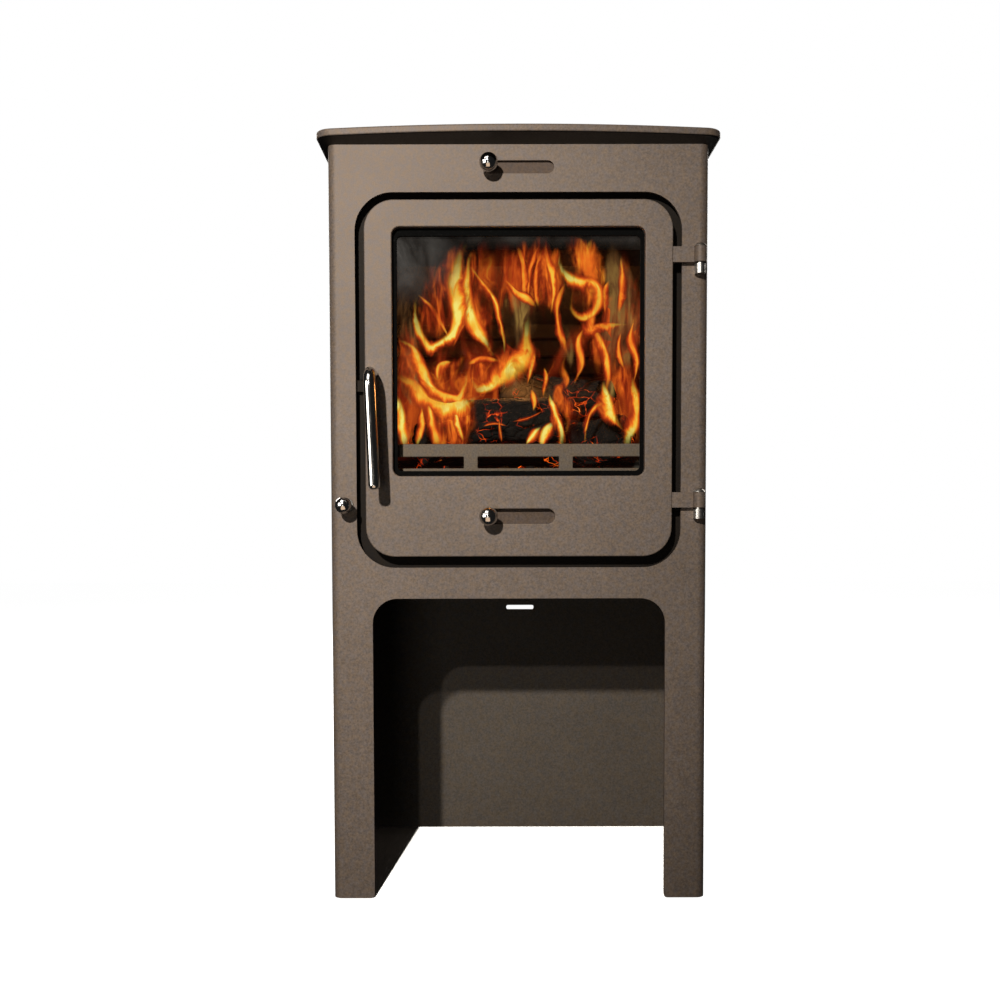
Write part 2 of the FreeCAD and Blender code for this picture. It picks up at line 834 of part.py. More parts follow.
def make_ash_pan():
    body = new_body("ash_pan")
    outline = rectangle("-pan_half", "pan_front", "pan_half", "pan_back", "6")
    pad(body, "flat", [outline], "pan_low", "pan_top - pan_low")
    inside = rectangle(
        "-(pan_half - pan_wall)", "pan_front + pan_wall", "pan_half - pan_wall", "pan_back - pan_wall", "4.5"
    )
    cut(body, "flat", [inside], "pan_low + pan_wall", "pan_top")
    keep(body)
    bail = new_body("ash_pan_handle")
    inner = "bail_half - bail_bar"
    loop = [
        ("-bail_half", "pan_front"),
        ("-bail_half", "pan_front - bail_reach", "5"),
        ("bail_half", "pan_front - bail_reach", "5"),
        ("bail_half", "pan_front"),
        (inner, "pan_front"),
        (inner, "pan_front - bail_reach + bail_bar", "2"),
        (f"-({inner})", "pan_front - bail_reach + bail_bar", "2"),
        (f"-({inner})", "pan_front"),
    ]
    pad(bail, "flat", [loop], "pan_top - 14", "bail_high")
    keep(bail)


# ---------------------------------------------------------------- door

def make_door_plate():
    body = new_body("door_plate")
    outline = rectangle("-door_half", "door_low", "door_half", "door_high", "door_radius")
    window = rectangle("-window_half", "window_low", "window_half", "window_high", "window_radius")
    pad(body, "front", [outline, window], "-door_thick", "door_thick")
    air = slot("lower_slot_left", "lower_slot_right", "lower_slot_z", "lower_slot_half")
    spindle_hole = ("circle", "handle_x", "handle_z", "spindle + running")
    cut(body, "front", [air, spindle_hole], "-door_thick - 1", "door_thick + 2")

    def front_edge(edge):
        big = edge.BoundBox.DiagonalLength > 9
        round_hole = edge.BoundBox.XMax < value("handle_x") + 6 and edge.BoundBox.DiagonalLength < 13
        return big and lies_at("y", -value("door_thick"))(edge) and not round_hole

    soften(body, 1.2, front_edge)
    keep(body)


def seal_ring(inset):
    """Rounded ring outline, inset from the outside of the seal channel."""
    right = f"seal_outer - ({inset})"
    return rectangle(
        f"-({right})", f"seal_low + ({inset})", right, f"seal_high - ({inset})", f"seal_radius - ({inset})"
    )


def make_door_seal():
    body = new_body("door_seal_channel")
    pad(body, "front", [seal_ring("0"), seal_ring("seal_width")], "0", "seal_depth")
    groove = [seal_ring("seal_rim"), seal_ring("seal_width - seal_rim")]
    cut(body, "front", groove, "seal_rim", "seal_depth")
    keep(body)
    rope = new_body("door_rope_seal")
    around = [seal_ring("seal_rim + 0.1"), seal_ring("seal_width - seal_rim - 0.1")]
    pad(rope, "front", around, "seal_rim + 0.1", "rope_back - seal_rim - 0.1")
    soften(rope, 3.2, lies_at("y", value("rope_back")))
    keep(rope)


def make_window():
    outer = rectangle("-glass_half", "glass_low", "glass_half", "glass_high", "3")
    inner = rectangle("-sight_half", "sight_low", "sight_half", "sight_high", "5")
    panel("glass_seal_tape", "front", [outer, inner], "0", "tape")
    panel("window_glass", "front", [outer], "tape", "glass")
    back = "tape + glass + 0.1"
    clip_back = f"{back} + clip_thick"
    edge_x = "(seal_outer - seal_width)"
    top_z = "seal_high - seal_width"
    clips = []
    screws = []

    def add_clip(across, up, x, z):
        count = len(clips) + 1
        clips.append(block(f"glass_clip_{count}", across, (back, clip_back), up))
        screws.append(round_bar(f"clip_screw_{count}", "y", "bolt_radius", "2.2", x, clip_back, z))

    for z in ("clip_low", "clip_high"):
        up = (f"{z} - clip_half", f"{z} + clip_half")
        add_clip((f"-{edge_x}", f"-{edge_x} + 6.5"), up, f"-{edge_x} + 3.4", z)
        add_clip((f"{edge_x} - 6.5", edge_x), up, f"{edge_x} - 3.4", z)
    for x in ("-clip_across", "clip_across"):
        add_clip((f"{x} - clip_half", f"{x} + clip_half"), (f"{top_z} - 12", top_z), x, f"{top_z} - 5")
    group("glass_clips", clips)
    group("glass_clip_screws", screws)
    rail = new_body("glass_rail")
    profile = [
        ("0", "glass_low - rail_drop"),
        (f"{back} + 2", "glass_low - rail_drop"),
        (f"{back} + 2", "glass_low + rail_lap"),
        (back, "glass_low + rail_lap"),
        (back, "glass_low - 0.2"),
        ("0", "glass_low - 0.2"),
    ]
    pad(rail, "side", [profile], "-rail_half", "2 * rail_half")
    keep(rail)


def make_hinges():
    for name, low in (("upper", "hinge_upper"), ("lower", "hinge_lower")):
        arm = new_body(f"{name}_hinge_arm")
        bar = rectangle("door_half", "-door_thick", "hinge_x", "-door_thick + arm_thick")
        pad(arm, "flat", [bar], low, "arm_high")
        pad(arm, "flat", [("circle", "hinge_x", "hinge_y", "eye_radius")], low, "arm_high")
        eye = [("circle", "hinge_x", "hinge_y", "pin_radius + running")]
        cut(arm, "flat", eye, f"{low} - 1", "arm_high + 2")
        keep(arm)
        bracket = new_body(f"{name}_hinge_bracket")
        foot = f"{low} - knuckle_drop"
        web = rectangle("hinge_x - knuckle_radius", "hinge_y", "hinge_x + knuckle_radius", "0")
        pad(bracket, "flat", [web], foot, "knuckle_high")
        pad(bracket, "flat", [("circle", "hinge_x", "hinge_y", "knuckle_radius")], foot, "knuckle_high")
        bore = [("circle", "hinge_x", "hinge_y", "pin_radius + 0.02")]
        cut(bracket, "flat", bore, f"{foot} + 1", "knuckle_high + 2")
        keep(bracket)
    pins = []
    for name, low in (("upper", "hinge_upper"), ("lower", "hinge_lower")):
        foot = f"{low} - knuckle_drop + 1.1"
        shaft_long = "arm_high + knuckle_drop - 0.6"
        shaft = round_bar(f"{name}_pin_shaft", "z", "pin_radius", shaft_long, "hinge_x", "hinge_y", foot)
        dome = ball(f"{name}_pin_dome", "7.5", "hinge_x", "hinge_y", f"{low} + arm_high - 3.2")
        keep_box = block(
            f"{name}_pin_level",
            ("hinge_x - 10", "hinge_x + 10"),
            ("hinge_y - 10", "hinge_y + 10"),
            (f"{low} + arm_high + 0.3", f"{low} + arm_high + 10"),
        )
        cap = doc.addObject("Part::Common", f"{name}_pin_cap")
        cap.Base = dome
        cap.Tool = keep_box
        pins.append(fuse(f"{name}_pin", [shaft, cap]))
    group("hinge_pins", pins)


# ---------------------------------------------------------------- handle and latch

def make_handle():
    """A round bar that comes straight out of the door, bends down and hangs free."""
    body = new_body("door_handle")
    path = new_sketch(body, "side")
    start = "-door_thick - 0.5"
    bend = value("handle_bend")
    far = value("-handle_reach")
    end = value("-handle_drop")
    centre = Vector(far + bend, -bend, 0)
    out = Part.LineSegment(Vector(value(start), 0, 0), Vector(far + bend, 0, 0))
    arc = Part.ArcOfCircle(Part.Circle(centre, Vector(0, 0, 1), bend), math.pi / 2, math.pi)
    down = Part.LineSegment(Vector(far, -bend, 0), Vector(far, end, 0))
    out, arc, down = (path.addGeometry(run, False) for run in (out, arc, down))
    path.addConstraint(Sketcher.Constraint("Horizontal", out))
    path.addConstraint(Sketcher.Constraint("Vertical", down))
    path.addConstraint(Sketcher.Constraint("Tangent", out, 2, arc, 1))
    path.addConstraint(Sketcher.Constraint("Tangent", arc, 2, down, 1))
    pin_down(path, out, 1, start, "0")
    pin_down(path, down, 2, "-handle_reach", "-handle_drop")
    bound = path.addConstraint(Sketcher.Constraint("Radius", arc, bend))
    path.setExpression(f"Constraints[{bound}]", bind("handle_bend"))
    ring = new_sketch(body, "front", start)
    draw_circle(ring, "0", "0", "handle_bar")
    doc.recompute()
    pipe = body.newObject("PartDesign::AdditivePipe", "door_handle_bar")
    pipe.Profile = ring
    pipe.Spine = (path, ["Edge1", "Edge2", "Edge3"])
    doc.recompute()
    soften(body, 4.5, lies_at("z", end))
    keep(body, x="handle_x", z="handle_z")
    body.Placement.Rotation = Rotation(Vector(0, 1, 0), value("handle_lean"))


def make_latch():
    """Spindle and cam turn with the handle; the keeper stands in front of the cam when it is turned in."""
    long = "cam_front + cam_thick + door_thick + 0.5"
    spindle = round_bar("handle_spindle", "y", "spindle", long, "handle_x", "0", "handle_z")
    keep(spindle, x="handle_x", z="handle_z")
    spindle.setExpression("Placement.Base.y", bind("front_y - door_thick - 0.5"))
    cam = new_body("latch_cam")
    tongue = rectangle("-cam_reach", "-cam_half", "0", "cam_half", "1.5")
    pad(cam, "front", [tongue], "cam_front", "cam_thick")
    pad(cam, "front", [("circle", "0", "0", "cam_boss")], "cam_front", "cam_thick")
    cut(cam, "front", [("circle", "0", "0", "spindle + 0.02")], "cam_front - 1", "cam_thick + 2")
    keep(cam, x="handle_x", z="handle_z")
    keeper = new_body("latch_keeper")
    profile = [
        ("handle_x - keeper_outer", "keeper_front"),
        ("handle_x - keeper_inner", "keeper_front"),
        ("handle_x - keeper_inner", "keeper_back"),
        ("handle_x - keeper_step", "keeper_back"),
        ("handle_x - keeper_step", "wall_front"),
        ("handle_x - keeper_outer", "wall_front"),
    ]
    pad(keeper, "flat", [profile], "handle_z - keeper_drop", "keeper_high")
    keep(keeper)


# ---------------------------------------------------------------- air sliders

def make_slider(name, plane, slot_left, slot_right, slot_z, half, knob_x, ball_out):
    """An air slider behind its slot: a plate, its two guides and the knob that stands out in front."""
    high = f"{slot_z} + {half} + slider_over"
    low = f"{slot_z} - {half} - slider_over"
    start = f"{plane} + slider_gap"
    back = f"{start} + slider"
    left = f"{slot_left} - slider_travel - 3"
    right = f"{slot_right} + 4"
    body = new_body(f"{name}_air_slider")
    pad(body, "front", [rectangle(left, low, right, high, "2")], start, "slider")
    cut(body, "front", [("circle", knob_x, slot_z, "stem + 0.02")], f"{start} - 1", "slider + 2")
    keep(body)
    guides = []
    guide_ends = (f"{left} - 4", f"{right} + slider_travel + 4")
    lip_front = f"{plane} + slider_gap * 2 + slider"
    lip = (lip_front, f"{lip_front} + slider_lip")
    for edge, out, over in ((high, 1, -1), (low, -1, 1)):
        beside = sorted((f"{edge} + {0.3 * out}", f"{edge} + {4.0 * out}"), key=value)
        across = sorted((f"{edge} + {2.5 * over}", f"{edge} + {4.0 * out}"), key=value)
        side = "top" if out > 0 else "bottom"
        rail = block(f"{name}_{side}_rail", guide_ends, (plane, lip[1]), beside)
        cover = block(f"{name}_{side}_lip", guide_ends, lip, across)
        guides.append(fuse(f"{name}_{side}_guide", [rail, cover]))
    group(f"{name}_slider_guides", guides)
    sphere = ball(f"{name}_ball", "ball", knob_x, ball_out, slot_z)
    stem = round_bar(f"{name}_stem", "y", "stem", f"{back} - ({ball_out})", knob_x, ball_out, slot_z)
    keep(fuse(f"{name}_slider_knob", [sphere, stem]))


def make_sliders():
    make_slider(
        "upper", "panel", "upper_slot_left", "upper_slot_right", "upper_slot_z", "upper_slot_half",
        "upper_knob_x", "upper_knob_y",
    )
    make_slider(
        "lower", "0", "lower_slot_left", "lower_slot_right", "lower_slot_z", "lower_slot_half",
        "lower_knob_x", "lower_knob_y",
    )


# ---------------------------------------------------------------- build and export

make_front_panel()
make_side_panels()
make_rear_panels()
make_top_plate()
make_floors()
make_firebox_front()
make_flue_collar()
make_flue_bolts()
make_rear_outlet()
make_heat_shield()
make_lining()
make_airwash_duct()
make_log_guard()
make_grate()
make_riddling_arm()
make_riddling_rod()
make_ash_pan()
make_door_plate()
make_door_seal()
make_window()
make_hinges()
make_handle()
make_latch()
make_sliders()
doc.recompute()

for piece in doc.Objects:
    if "Invalid" in piece.State or "Error" in piece.State:
        raise RuntimeError(f"{piece.Name} did not recompute: {piece.State}")
for node in nodes:
    if node.Shape.isNull() or not node.Shape.isValid() or not node.Shape.Solids:
        raise RuntimeError(f"{node.Label} has no valid solid")

os.makedirs("parts", exist_ok=True)
whole = FreeCAD.BoundBox()
for node in nodes:
    node.Shape.exportStep(f"parts/{node.Label}.step")
    whole.add(node.Shape.BoundBox)
print(f"{len(nodes)} sub-parts, box {whole}")
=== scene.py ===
import json
import math

import bmesh
import bpy
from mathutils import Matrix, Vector, noise


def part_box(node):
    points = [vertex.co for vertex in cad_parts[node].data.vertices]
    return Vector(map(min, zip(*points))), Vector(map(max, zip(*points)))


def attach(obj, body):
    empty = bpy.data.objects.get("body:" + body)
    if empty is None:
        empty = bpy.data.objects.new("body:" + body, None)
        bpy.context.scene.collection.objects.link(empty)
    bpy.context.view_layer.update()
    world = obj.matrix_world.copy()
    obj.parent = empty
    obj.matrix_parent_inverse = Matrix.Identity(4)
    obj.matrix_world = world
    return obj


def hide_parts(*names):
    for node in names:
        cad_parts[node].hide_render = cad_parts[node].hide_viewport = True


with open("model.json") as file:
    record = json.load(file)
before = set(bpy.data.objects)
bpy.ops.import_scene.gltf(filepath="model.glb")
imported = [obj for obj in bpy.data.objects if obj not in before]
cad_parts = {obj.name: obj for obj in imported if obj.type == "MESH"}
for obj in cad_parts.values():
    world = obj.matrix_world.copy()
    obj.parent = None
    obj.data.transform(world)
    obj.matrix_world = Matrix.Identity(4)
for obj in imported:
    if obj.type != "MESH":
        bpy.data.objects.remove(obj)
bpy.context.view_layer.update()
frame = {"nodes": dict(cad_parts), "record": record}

MM = 0.001


# ---------------------------------------------------------------- node trees

class Finish:
    """One procedural material, and short ways to add nodes to it."""

    def __init__(self, name):
        self.material = bpy.data.materials.new(name)
        self.material.use_nodes = True
        self.tree = self.material.node_tree
        self.tree.nodes.clear()

    def add(self, kind, inputs, **settings):
        """A new node; each input takes a value, or a link from another node's output."""
        node = self.tree.nodes.new("ShaderNode" + kind)
        for key, setting in settings.items():
            setattr(node, key, setting)
        for key, given in inputs.items():
            if isinstance(given, bpy.types.NodeSocket):
                self.tree.links.new(given, node.inputs[key])
            else:
                node.inputs[key].default_value = given
        return node

    def split(self, given):
        """The X, Y and Z outputs of a vector."""
        return self.add("SeparateXYZ", {"Vector": given}).outputs

    def facing(self):
        """The way that a face looks, and whether it is seen from behind."""
        return self.add("NewGeometry", {}).outputs

    def place(self, stretch=(1, 1, 1), shift=(0, 0, 0)):
        """Where a point lies on the piece, in metres, stretched along each axis."""
        coordinates = self.add("TexCoord", {}).outputs["Object"]
        mapping = self.add("Mapping", {"Vector": coordinates, "Scale": stretch, "Location": shift})
        return mapping.outputs["Vector"]

    def noise(self, where, scale, detail=2.0, roughness=0.5, distortion=0.0):
        """Smooth noise from 0 to 1 with a given number of lumps per metre."""
        settings = {"Vector": where, "Scale": scale, "Detail": detail}
        settings.update({"Roughness": roughness, "Distortion": distortion})
        return self.add("TexNoise", settings).outputs["Fac"]

    def cells(self, where, scale, feature="F1"):
        made = self.add("TexVoronoi", {"Vector": where, "Scale": scale}, feature=feature)
        return made.outputs["Distance"]

    def maths(self, operation, first, second=0.0, clamp=False):
        return self.add("Math", {0: first, 1: second}, operation=operation, use_clamp=clamp).outputs[0]

    def between(self, given, low, high, to_low=0.0, to_high=1.0, smooth=False):
        """The given value, brought from one range to another and kept inside it."""
        ends = {"Value": given, "From Min": low, "From Max": high, "To Min": to_low, "To Max": to_high}
        how = "SMOOTHSTEP" if smooth else "LINEAR"
        return self.add("MapRange", ends, interpolation_type=how).outputs["Result"]

    def mix(self, share, first, second, how="MIX"):
        made = self.add("MixRGB", {"Fac": share, "Color1": first, "Color2": second}, blend_type=how)
        return made.outputs["Color"]

    def ramp(self, given, stops):
        """A colour for the given value, from stops of a place and a colour."""
        node = self.add("ValToRGB", {"Fac": given})
        elements = node.color_ramp.elements
        while len(elements) < len(stops):
            elements.new(0.5)
        for element, (place, colour) in zip(elements, stops):
            element.position = place
            element.color = rgb(*colour)
        return node.outputs["Color"]

    def bump(self, height, strength, depth):
        made = self.add("Bump", {"Height": height, "Strength": strength, "Distance": depth})
        return made.outputs["Normal"]

    def surface(self, inputs):
        shader = self.add("BsdfPrincipled", inputs)
        return self.done(shader.outputs["BSDF"])

    def done(self, shader):
        self.add("OutputMaterial", {"Surface": shader})
        return self.material


def rgb(red, green, blue):
    return (red, green, blue, 1.0)


def grey(level):
    return rgb(level, level, level)


# ---------------------------------------------------------------- materials

def heatproof_paint(name, colour, gloss=0.5, other_side=None):
    """Matt metallic stove paint: a fine grain of light and dark flakes over a slightly cloudy coat.

    The other side is an axis, a sign and a colour: faces that look that way along the axis have it. It is
    how one side of a piece takes painted shade while the other keeps its own colour."""
    made = Finish(name)
    where = made.place()
    grain = made.noise(where, 480, 3, 0.65)
    flakes = made.noise(where, 1300, 2, 0.7)
    clouds = made.noise(where, 11, 4, 0.55)
    tone = made.between(grain, 0.3, 0.7, 0.68, 1.3)
    tone = made.maths("MULTIPLY", tone, made.between(clouds, 0.3, 0.7, 0.94, 1.06))
    tone = made.maths("ADD", tone, made.between(flakes, 0.66, 0.8, 0.0, 0.42))
    tone = made.maths("SUBTRACT", tone, made.between(flakes, 0.36, 0.24, 0.0, 0.3))
    light = made.add("CombineColor", {"Red": tone, "Green": tone, "Blue": tone}).outputs["Color"]
    base = made.mix(1.0, rgb(*colour), light, "MULTIPLY")
    warmth = made.between(made.noise(where, 170, 3), 0.35, 0.65)
    cool = made.mix(1.0, base, rgb(0.97, 0.98, 1.04), "MULTIPLY")
    base = made.mix(warmth, cool, made.mix(1.0, base, rgb(1.09, 1.0, 0.88), "MULTIPLY"))
    if other_side:
        axis, sign, other = other_side
        facing = made.split(made.facing()["Normal"])[axis]
        turned = made.mix(1.0, rgb(*other), light, "MULTIPLY")
        base = made.mix(made.between(facing, 0.5 * sign, 0.8 * sign), base, turned)
    rough = made.between(grain, 0.3, 0.7, 0.5, 0.66)
    bump = made.bump(made.maths("ADD", grain, flakes), 0.35, 0.12 * MM)
    return made.surface({"Base Color": base, "Roughness": rough, "Metallic": 0.22,
                         "Specular IOR Level": gloss, "Normal": bump})


def bare_steel(name):
    """Mill steel dulled by heat: drawn lines, blotches and a little brown oxide."""
    made = Finish(name)
    drawn = made.noise(made.place((1, 1, 14)), 260, 3)
    blotch = made.noise(made.place(), 45, 4, 0.6)
    base = made.mix(made.between(drawn, 0.3, 0.7), grey(0.36), rgb(0.55, 0.53, 0.49))
    base = made.mix(made.between(blotch, 0.52, 0.72), base, rgb(0.23, 0.16, 0.11))
    rough = made.between(drawn, 0.3, 0.7, 0.26, 0.46)
    bump = made.bump(drawn, 0.2, 0.05 * MM)
    return made.surface({"Base Color": base, "Roughness": rough, "Metallic": 0.95, "Normal": bump})


def black_oxide(name):
    """Blacked fasteners with rubbed bright spots."""
    made = Finish(name)
    where = made.place()
    rubbed = made.between(made.noise(where, 330, 3), 0.55, 0.75)
    base = made.mix(rubbed, rgb(0.03, 0.029, 0.028), rgb(0.16, 0.15, 0.14))
    rough = made.between(rubbed, 0.0, 1.0, 0.5, 0.3)
    bump = made.bump(made.noise(where, 900, 2), 0.25, 0.05 * MM)
    return made.surface({"Base Color": base, "Roughness": rough, "Metallic": 0.7, "Normal": bump})


def dark_chrome(name):
    """Polished chrome with faint hand marks."""
    made = Finish(name)
    where = made.place()
    marks = made.noise(where, 38, 4, 0.65)
    base = made.mix(made.between(marks, 0.35, 0.75), rgb(0.60, 0.59, 0.58), rgb(0.46, 0.43, 0.41))
    rough = made.between(marks, 0.35, 0.75, 0.10, 0.2)
    bump = made.bump(made.noise(where, 700, 2), 0.05, 0.02 * MM)
    return made.surface({"Base Color": base, "Roughness": rough, "Metallic": 1.0, "Normal": bump})


def cast_iron(name):
    """Sand-cast iron: pitted, grey-black, ash in the pits."""
    made = Finish(name)
    where = made.place()
    pits = made.noise(where, 420, 4, 0.7)
    ash = made.between(made.noise(where, 60, 4, 0.6), 0.52, 0.72)
    base = made.mix(ash, rgb(0.045, 0.042, 0.04), rgb(0.26, 0.24, 0.22))
    bump = made.bump(pits, 0.6, 0.4 * MM)
    return made.surface({"Base Color": base, "Roughness": 0.82, "Metallic": 0.25, "Normal": bump})


BRICK_COLOURS = [
    (0.0, (0.62, 0.50, 0.34)),
    (0.45, (0.44, 0.36, 0.27)),
    (0.9, (0.28, 0.22, 0.17)),
]
COURSES_PER_METRE = 44.0


def firebrick(name, dark):
    """Vermiculite board: golden flecks in buff, blackened by soot by the given share."""
    made = Finish(name)
    where = made.place()
    flecks = made.cells(where, 330)
    base = made.ramp(flecks, BRICK_COLOURS)
    soot = made.between(made.noise(where, 14, 4, 0.6), 0.2, 0.75, dark, 1.0)
    base = made.mix(soot, base, rgb(0.03, 0.03, 0.028))
    bump = made.bump(made.noise(where, 300, 4, 0.7), 0.7, 0.6 * MM)
    return made.surface({"Base Color": base, "Roughness": 0.95, "Normal": bump})


def coursed_firebrick(name):
    """The rear board: grey-green soot over pressed horizontal grooves, with painted shade near black in
    the grooves.
    """
    made = Finish(name)
    where = made.place()
    height = made.split(where)["Z"]
    course = made.maths("FRACT", made.maths("MULTIPLY", height, COURSES_PER_METRE))
    groove = made.between(course, 0.0, 0.16, smooth=True)
    groove = made.maths("MINIMUM", groove, made.between(course, 1.0, 0.84, smooth=True))
    soot = made.noise(where, 16, 4, 0.6)
    base = made.mix(made.between(soot, 0.35, 0.7), rgb(0.10, 0.105, 0.09), rgb(0.045, 0.05, 0.042))
    # Painted shade: the grooves are darkened to near black.
    base = made.mix(groove, rgb(0.008, 0.008, 0.007), base)
    grain = made.maths("MULTIPLY", made.noise(where, 350, 4, 0.7), 0.3)
    bump = made.bump(made.maths("ADD", groove, grain), 0.9, 1.5 * MM)
    return made.surface({"Base Color": base, "Roughness": 0.9, "Normal": bump})


def fibre_rope(name):
    """Black glass-fibre yarn: crossing threads with a faint sheen."""
    made = Finish(name)
    ways = []
    for stretch in ((1, 1, 1), (-1, 1, 1)):
        threads = {"Vector": made.place(stretch), "Scale": 420.0, "Distortion": 0.4, "Detail": 1.0}
        ways.append(made.add("TexWave", threads, bands_direction="DIAGONAL").outputs["Fac"])
    weave = made.maths("MULTIPLY", *ways)
    fluff = made.noise(made.place(), 500, 3)
    base = made.mix(weave, rgb(0.002, 0.002, 0.002), rgb(0.011, 0.011, 0.010))
    base = made.mix(made.between(fluff, 0.6, 0.8), base, grey(0.025))
    bump = made.bump(weave, 0.8, 0.4 * MM)
    return made.surface({"Base Color": base, "Roughness": 0.95, "Specular IOR Level": 0.15,
                         "Sheen Weight": 0.03, "Normal": bump})


def window_glass(name, low, high):
    """Clear ceramic glass: a faint reflection, and a film of soot in the upper corners."""
    made = Finish(name)
    where = made.place()
    axes = made.split(where)
    across = made.between(axes["X"], low.x, high.x)
    up = made.between(axes["Z"], low.z, high.z)
    wisps = made.noise(made.place((1, 1, 0.7)), 26, 5, 0.6, 0.8)
    near_left = made.between(across, 0.33, 0.03, smooth=True)
    near_top = made.between(up, 0.66, 0.95, smooth=True)
    corner = made.maths("MULTIPLY", near_left, near_top)
    rim = made.between(up, 0.9, 1.0, 0.0, 0.6, smooth=True)
    soot = made.maths("MAXIMUM", made.maths("MULTIPLY", corner, 1.3), rim)
    soot = made.maths("MULTIPLY", soot, made.between(wisps, 0.25, 0.7, 0.25, 1.0), clamp=True)
    tint = made.mix(made.between(wisps, 0.35, 0.7), rgb(0.035, 0.03, 0.026), rgb(0.14, 0.135, 0.13))
    outer_face = made.maths("SUBTRACT", 1.0, made.facing()["Backfacing"])
    mirror = made.maths("MULTIPLY", made.add("Fresnel", {"IOR": 1.45}).outputs["Fac"], outer_face)
    gloss = made.add("BsdfPrincipled", {"Base Color": grey(0.9), "Metallic": 1.0, "Roughness": 0.04})
    clear = made.add("BsdfTransparent", {"Color": rgb(0.97, 0.96, 0.94)})
    pane = made.add("MixShader", {0: mirror, 1: clear.outputs[0], 2: gloss.outputs[0]})
    film = made.add("BsdfPrincipled", {"Base Color": tint, "Roughness": 0.8})
    share = made.maths("MULTIPLY", soot, 0.85)
    both = made.add("MixShader", {0: share, 1: pane.outputs[0], 2: film.outputs[0]})
    return made.done(both.outputs[0])


EMBER_COLOURS = [
    (0.0, (0.0, 0.0, 0.0)),
    (0.3, (0.35, 0.02, 0.0)),
    (0.65, (1.0, 0.16, 0.01)),
    (1.0, (1.0, 0.55, 0.12)),
]


def charred_wood(name, glow):
    """Burnt logs: black checked char, grey ash on the ridges, fire in the cracks by the given strength."""
    made = Finish(name)
    where = made.place()
    drift = made.add("TexNoise", {"Vector": where, "Scale": 30.0, "Detail": 3.0}).outputs["Color"]
    checks = made.cells(made.mix(0.035, where, drift, "ADD"), 78, "DISTANCE_TO_EDGE")
    lumps = made.noise(where, 34, 4, 0.6)
    ash = made.between(made.noise(where, 190, 4, 0.65), 0.52, 0.75)
    base = made.mix(made.maths("MULTIPLY", ash, 0.6), rgb(0.008, 0.007, 0.006), rgb(0.045, 0.038, 0.034))
    crack = made.between(checks, 0.06, 0.0, smooth=True)
    live = made.between(lumps, 0.5, 0.74, smooth=True)
    heat = made.maths("MULTIPLY", crack, live)
    fire = made.ramp(heat, EMBER_COLOURS)
    height = made.maths("ADD", made.between(checks, 0.0, 0.2), made.maths("MULTIPLY", ash, 0.3))
    bump = made.bump(height, 0.9, 2.0 * MM)
    return made.surface({"Base Color": base, "Roughness": 0.95, "Normal": bump,
                         "Emission Color": fire, "Emission Strength": glow})


# How a flame's light goes with its heat, for clear flames and for smoky ones.
HEAT_COLOURS = [
    (0.0, (0.05, 0.004, 0.001)),
    (0.22, (0.40, 0.038, 0.008)),
    (0.45, (0.90, 0.165, 0.016)),
    (0.62, (0.97, 0.33, 0.026)),
    (0.80, (0.98, 0.56, 0.055)),
    (1.0, (0.99, 0.86, 0.20)),
]
SMOKE_COLOURS = [
    (0.0, (0.035, 0.016, 0.008)),
    (0.3, (0.16, 0.075, 0.024)),
    (0.6, (0.36, 0.22, 0.055)),
    (1.0, (0.66, 0.50, 0.12)),
]
# The ribbons' UV maps, and the kinds of flame as map burn holds them.
FLAME_MAPS = ("ribbon", "burn")
THREAD, VEIL, SMOKY = 0.0, 1.0, 2.0
CORE_OFFSET = 0.18


def flame_light(made, heat, cover, smoky=0.0):
    """A flame shows its own light by its heat, and hides what is behind it by its cover."""
    tongues = made.mix(smoky, made.ramp(heat, HEAT_COLOURS), made.ramp(heat, SMOKE_COLOURS))
    return made.surface({"Base Color": grey(0.0), "Roughness": 1.0, "Specular IOR Level": 0.0,
                         "Emission Color": tongues, "Emission Strength": 1.0, "Alpha": cover})


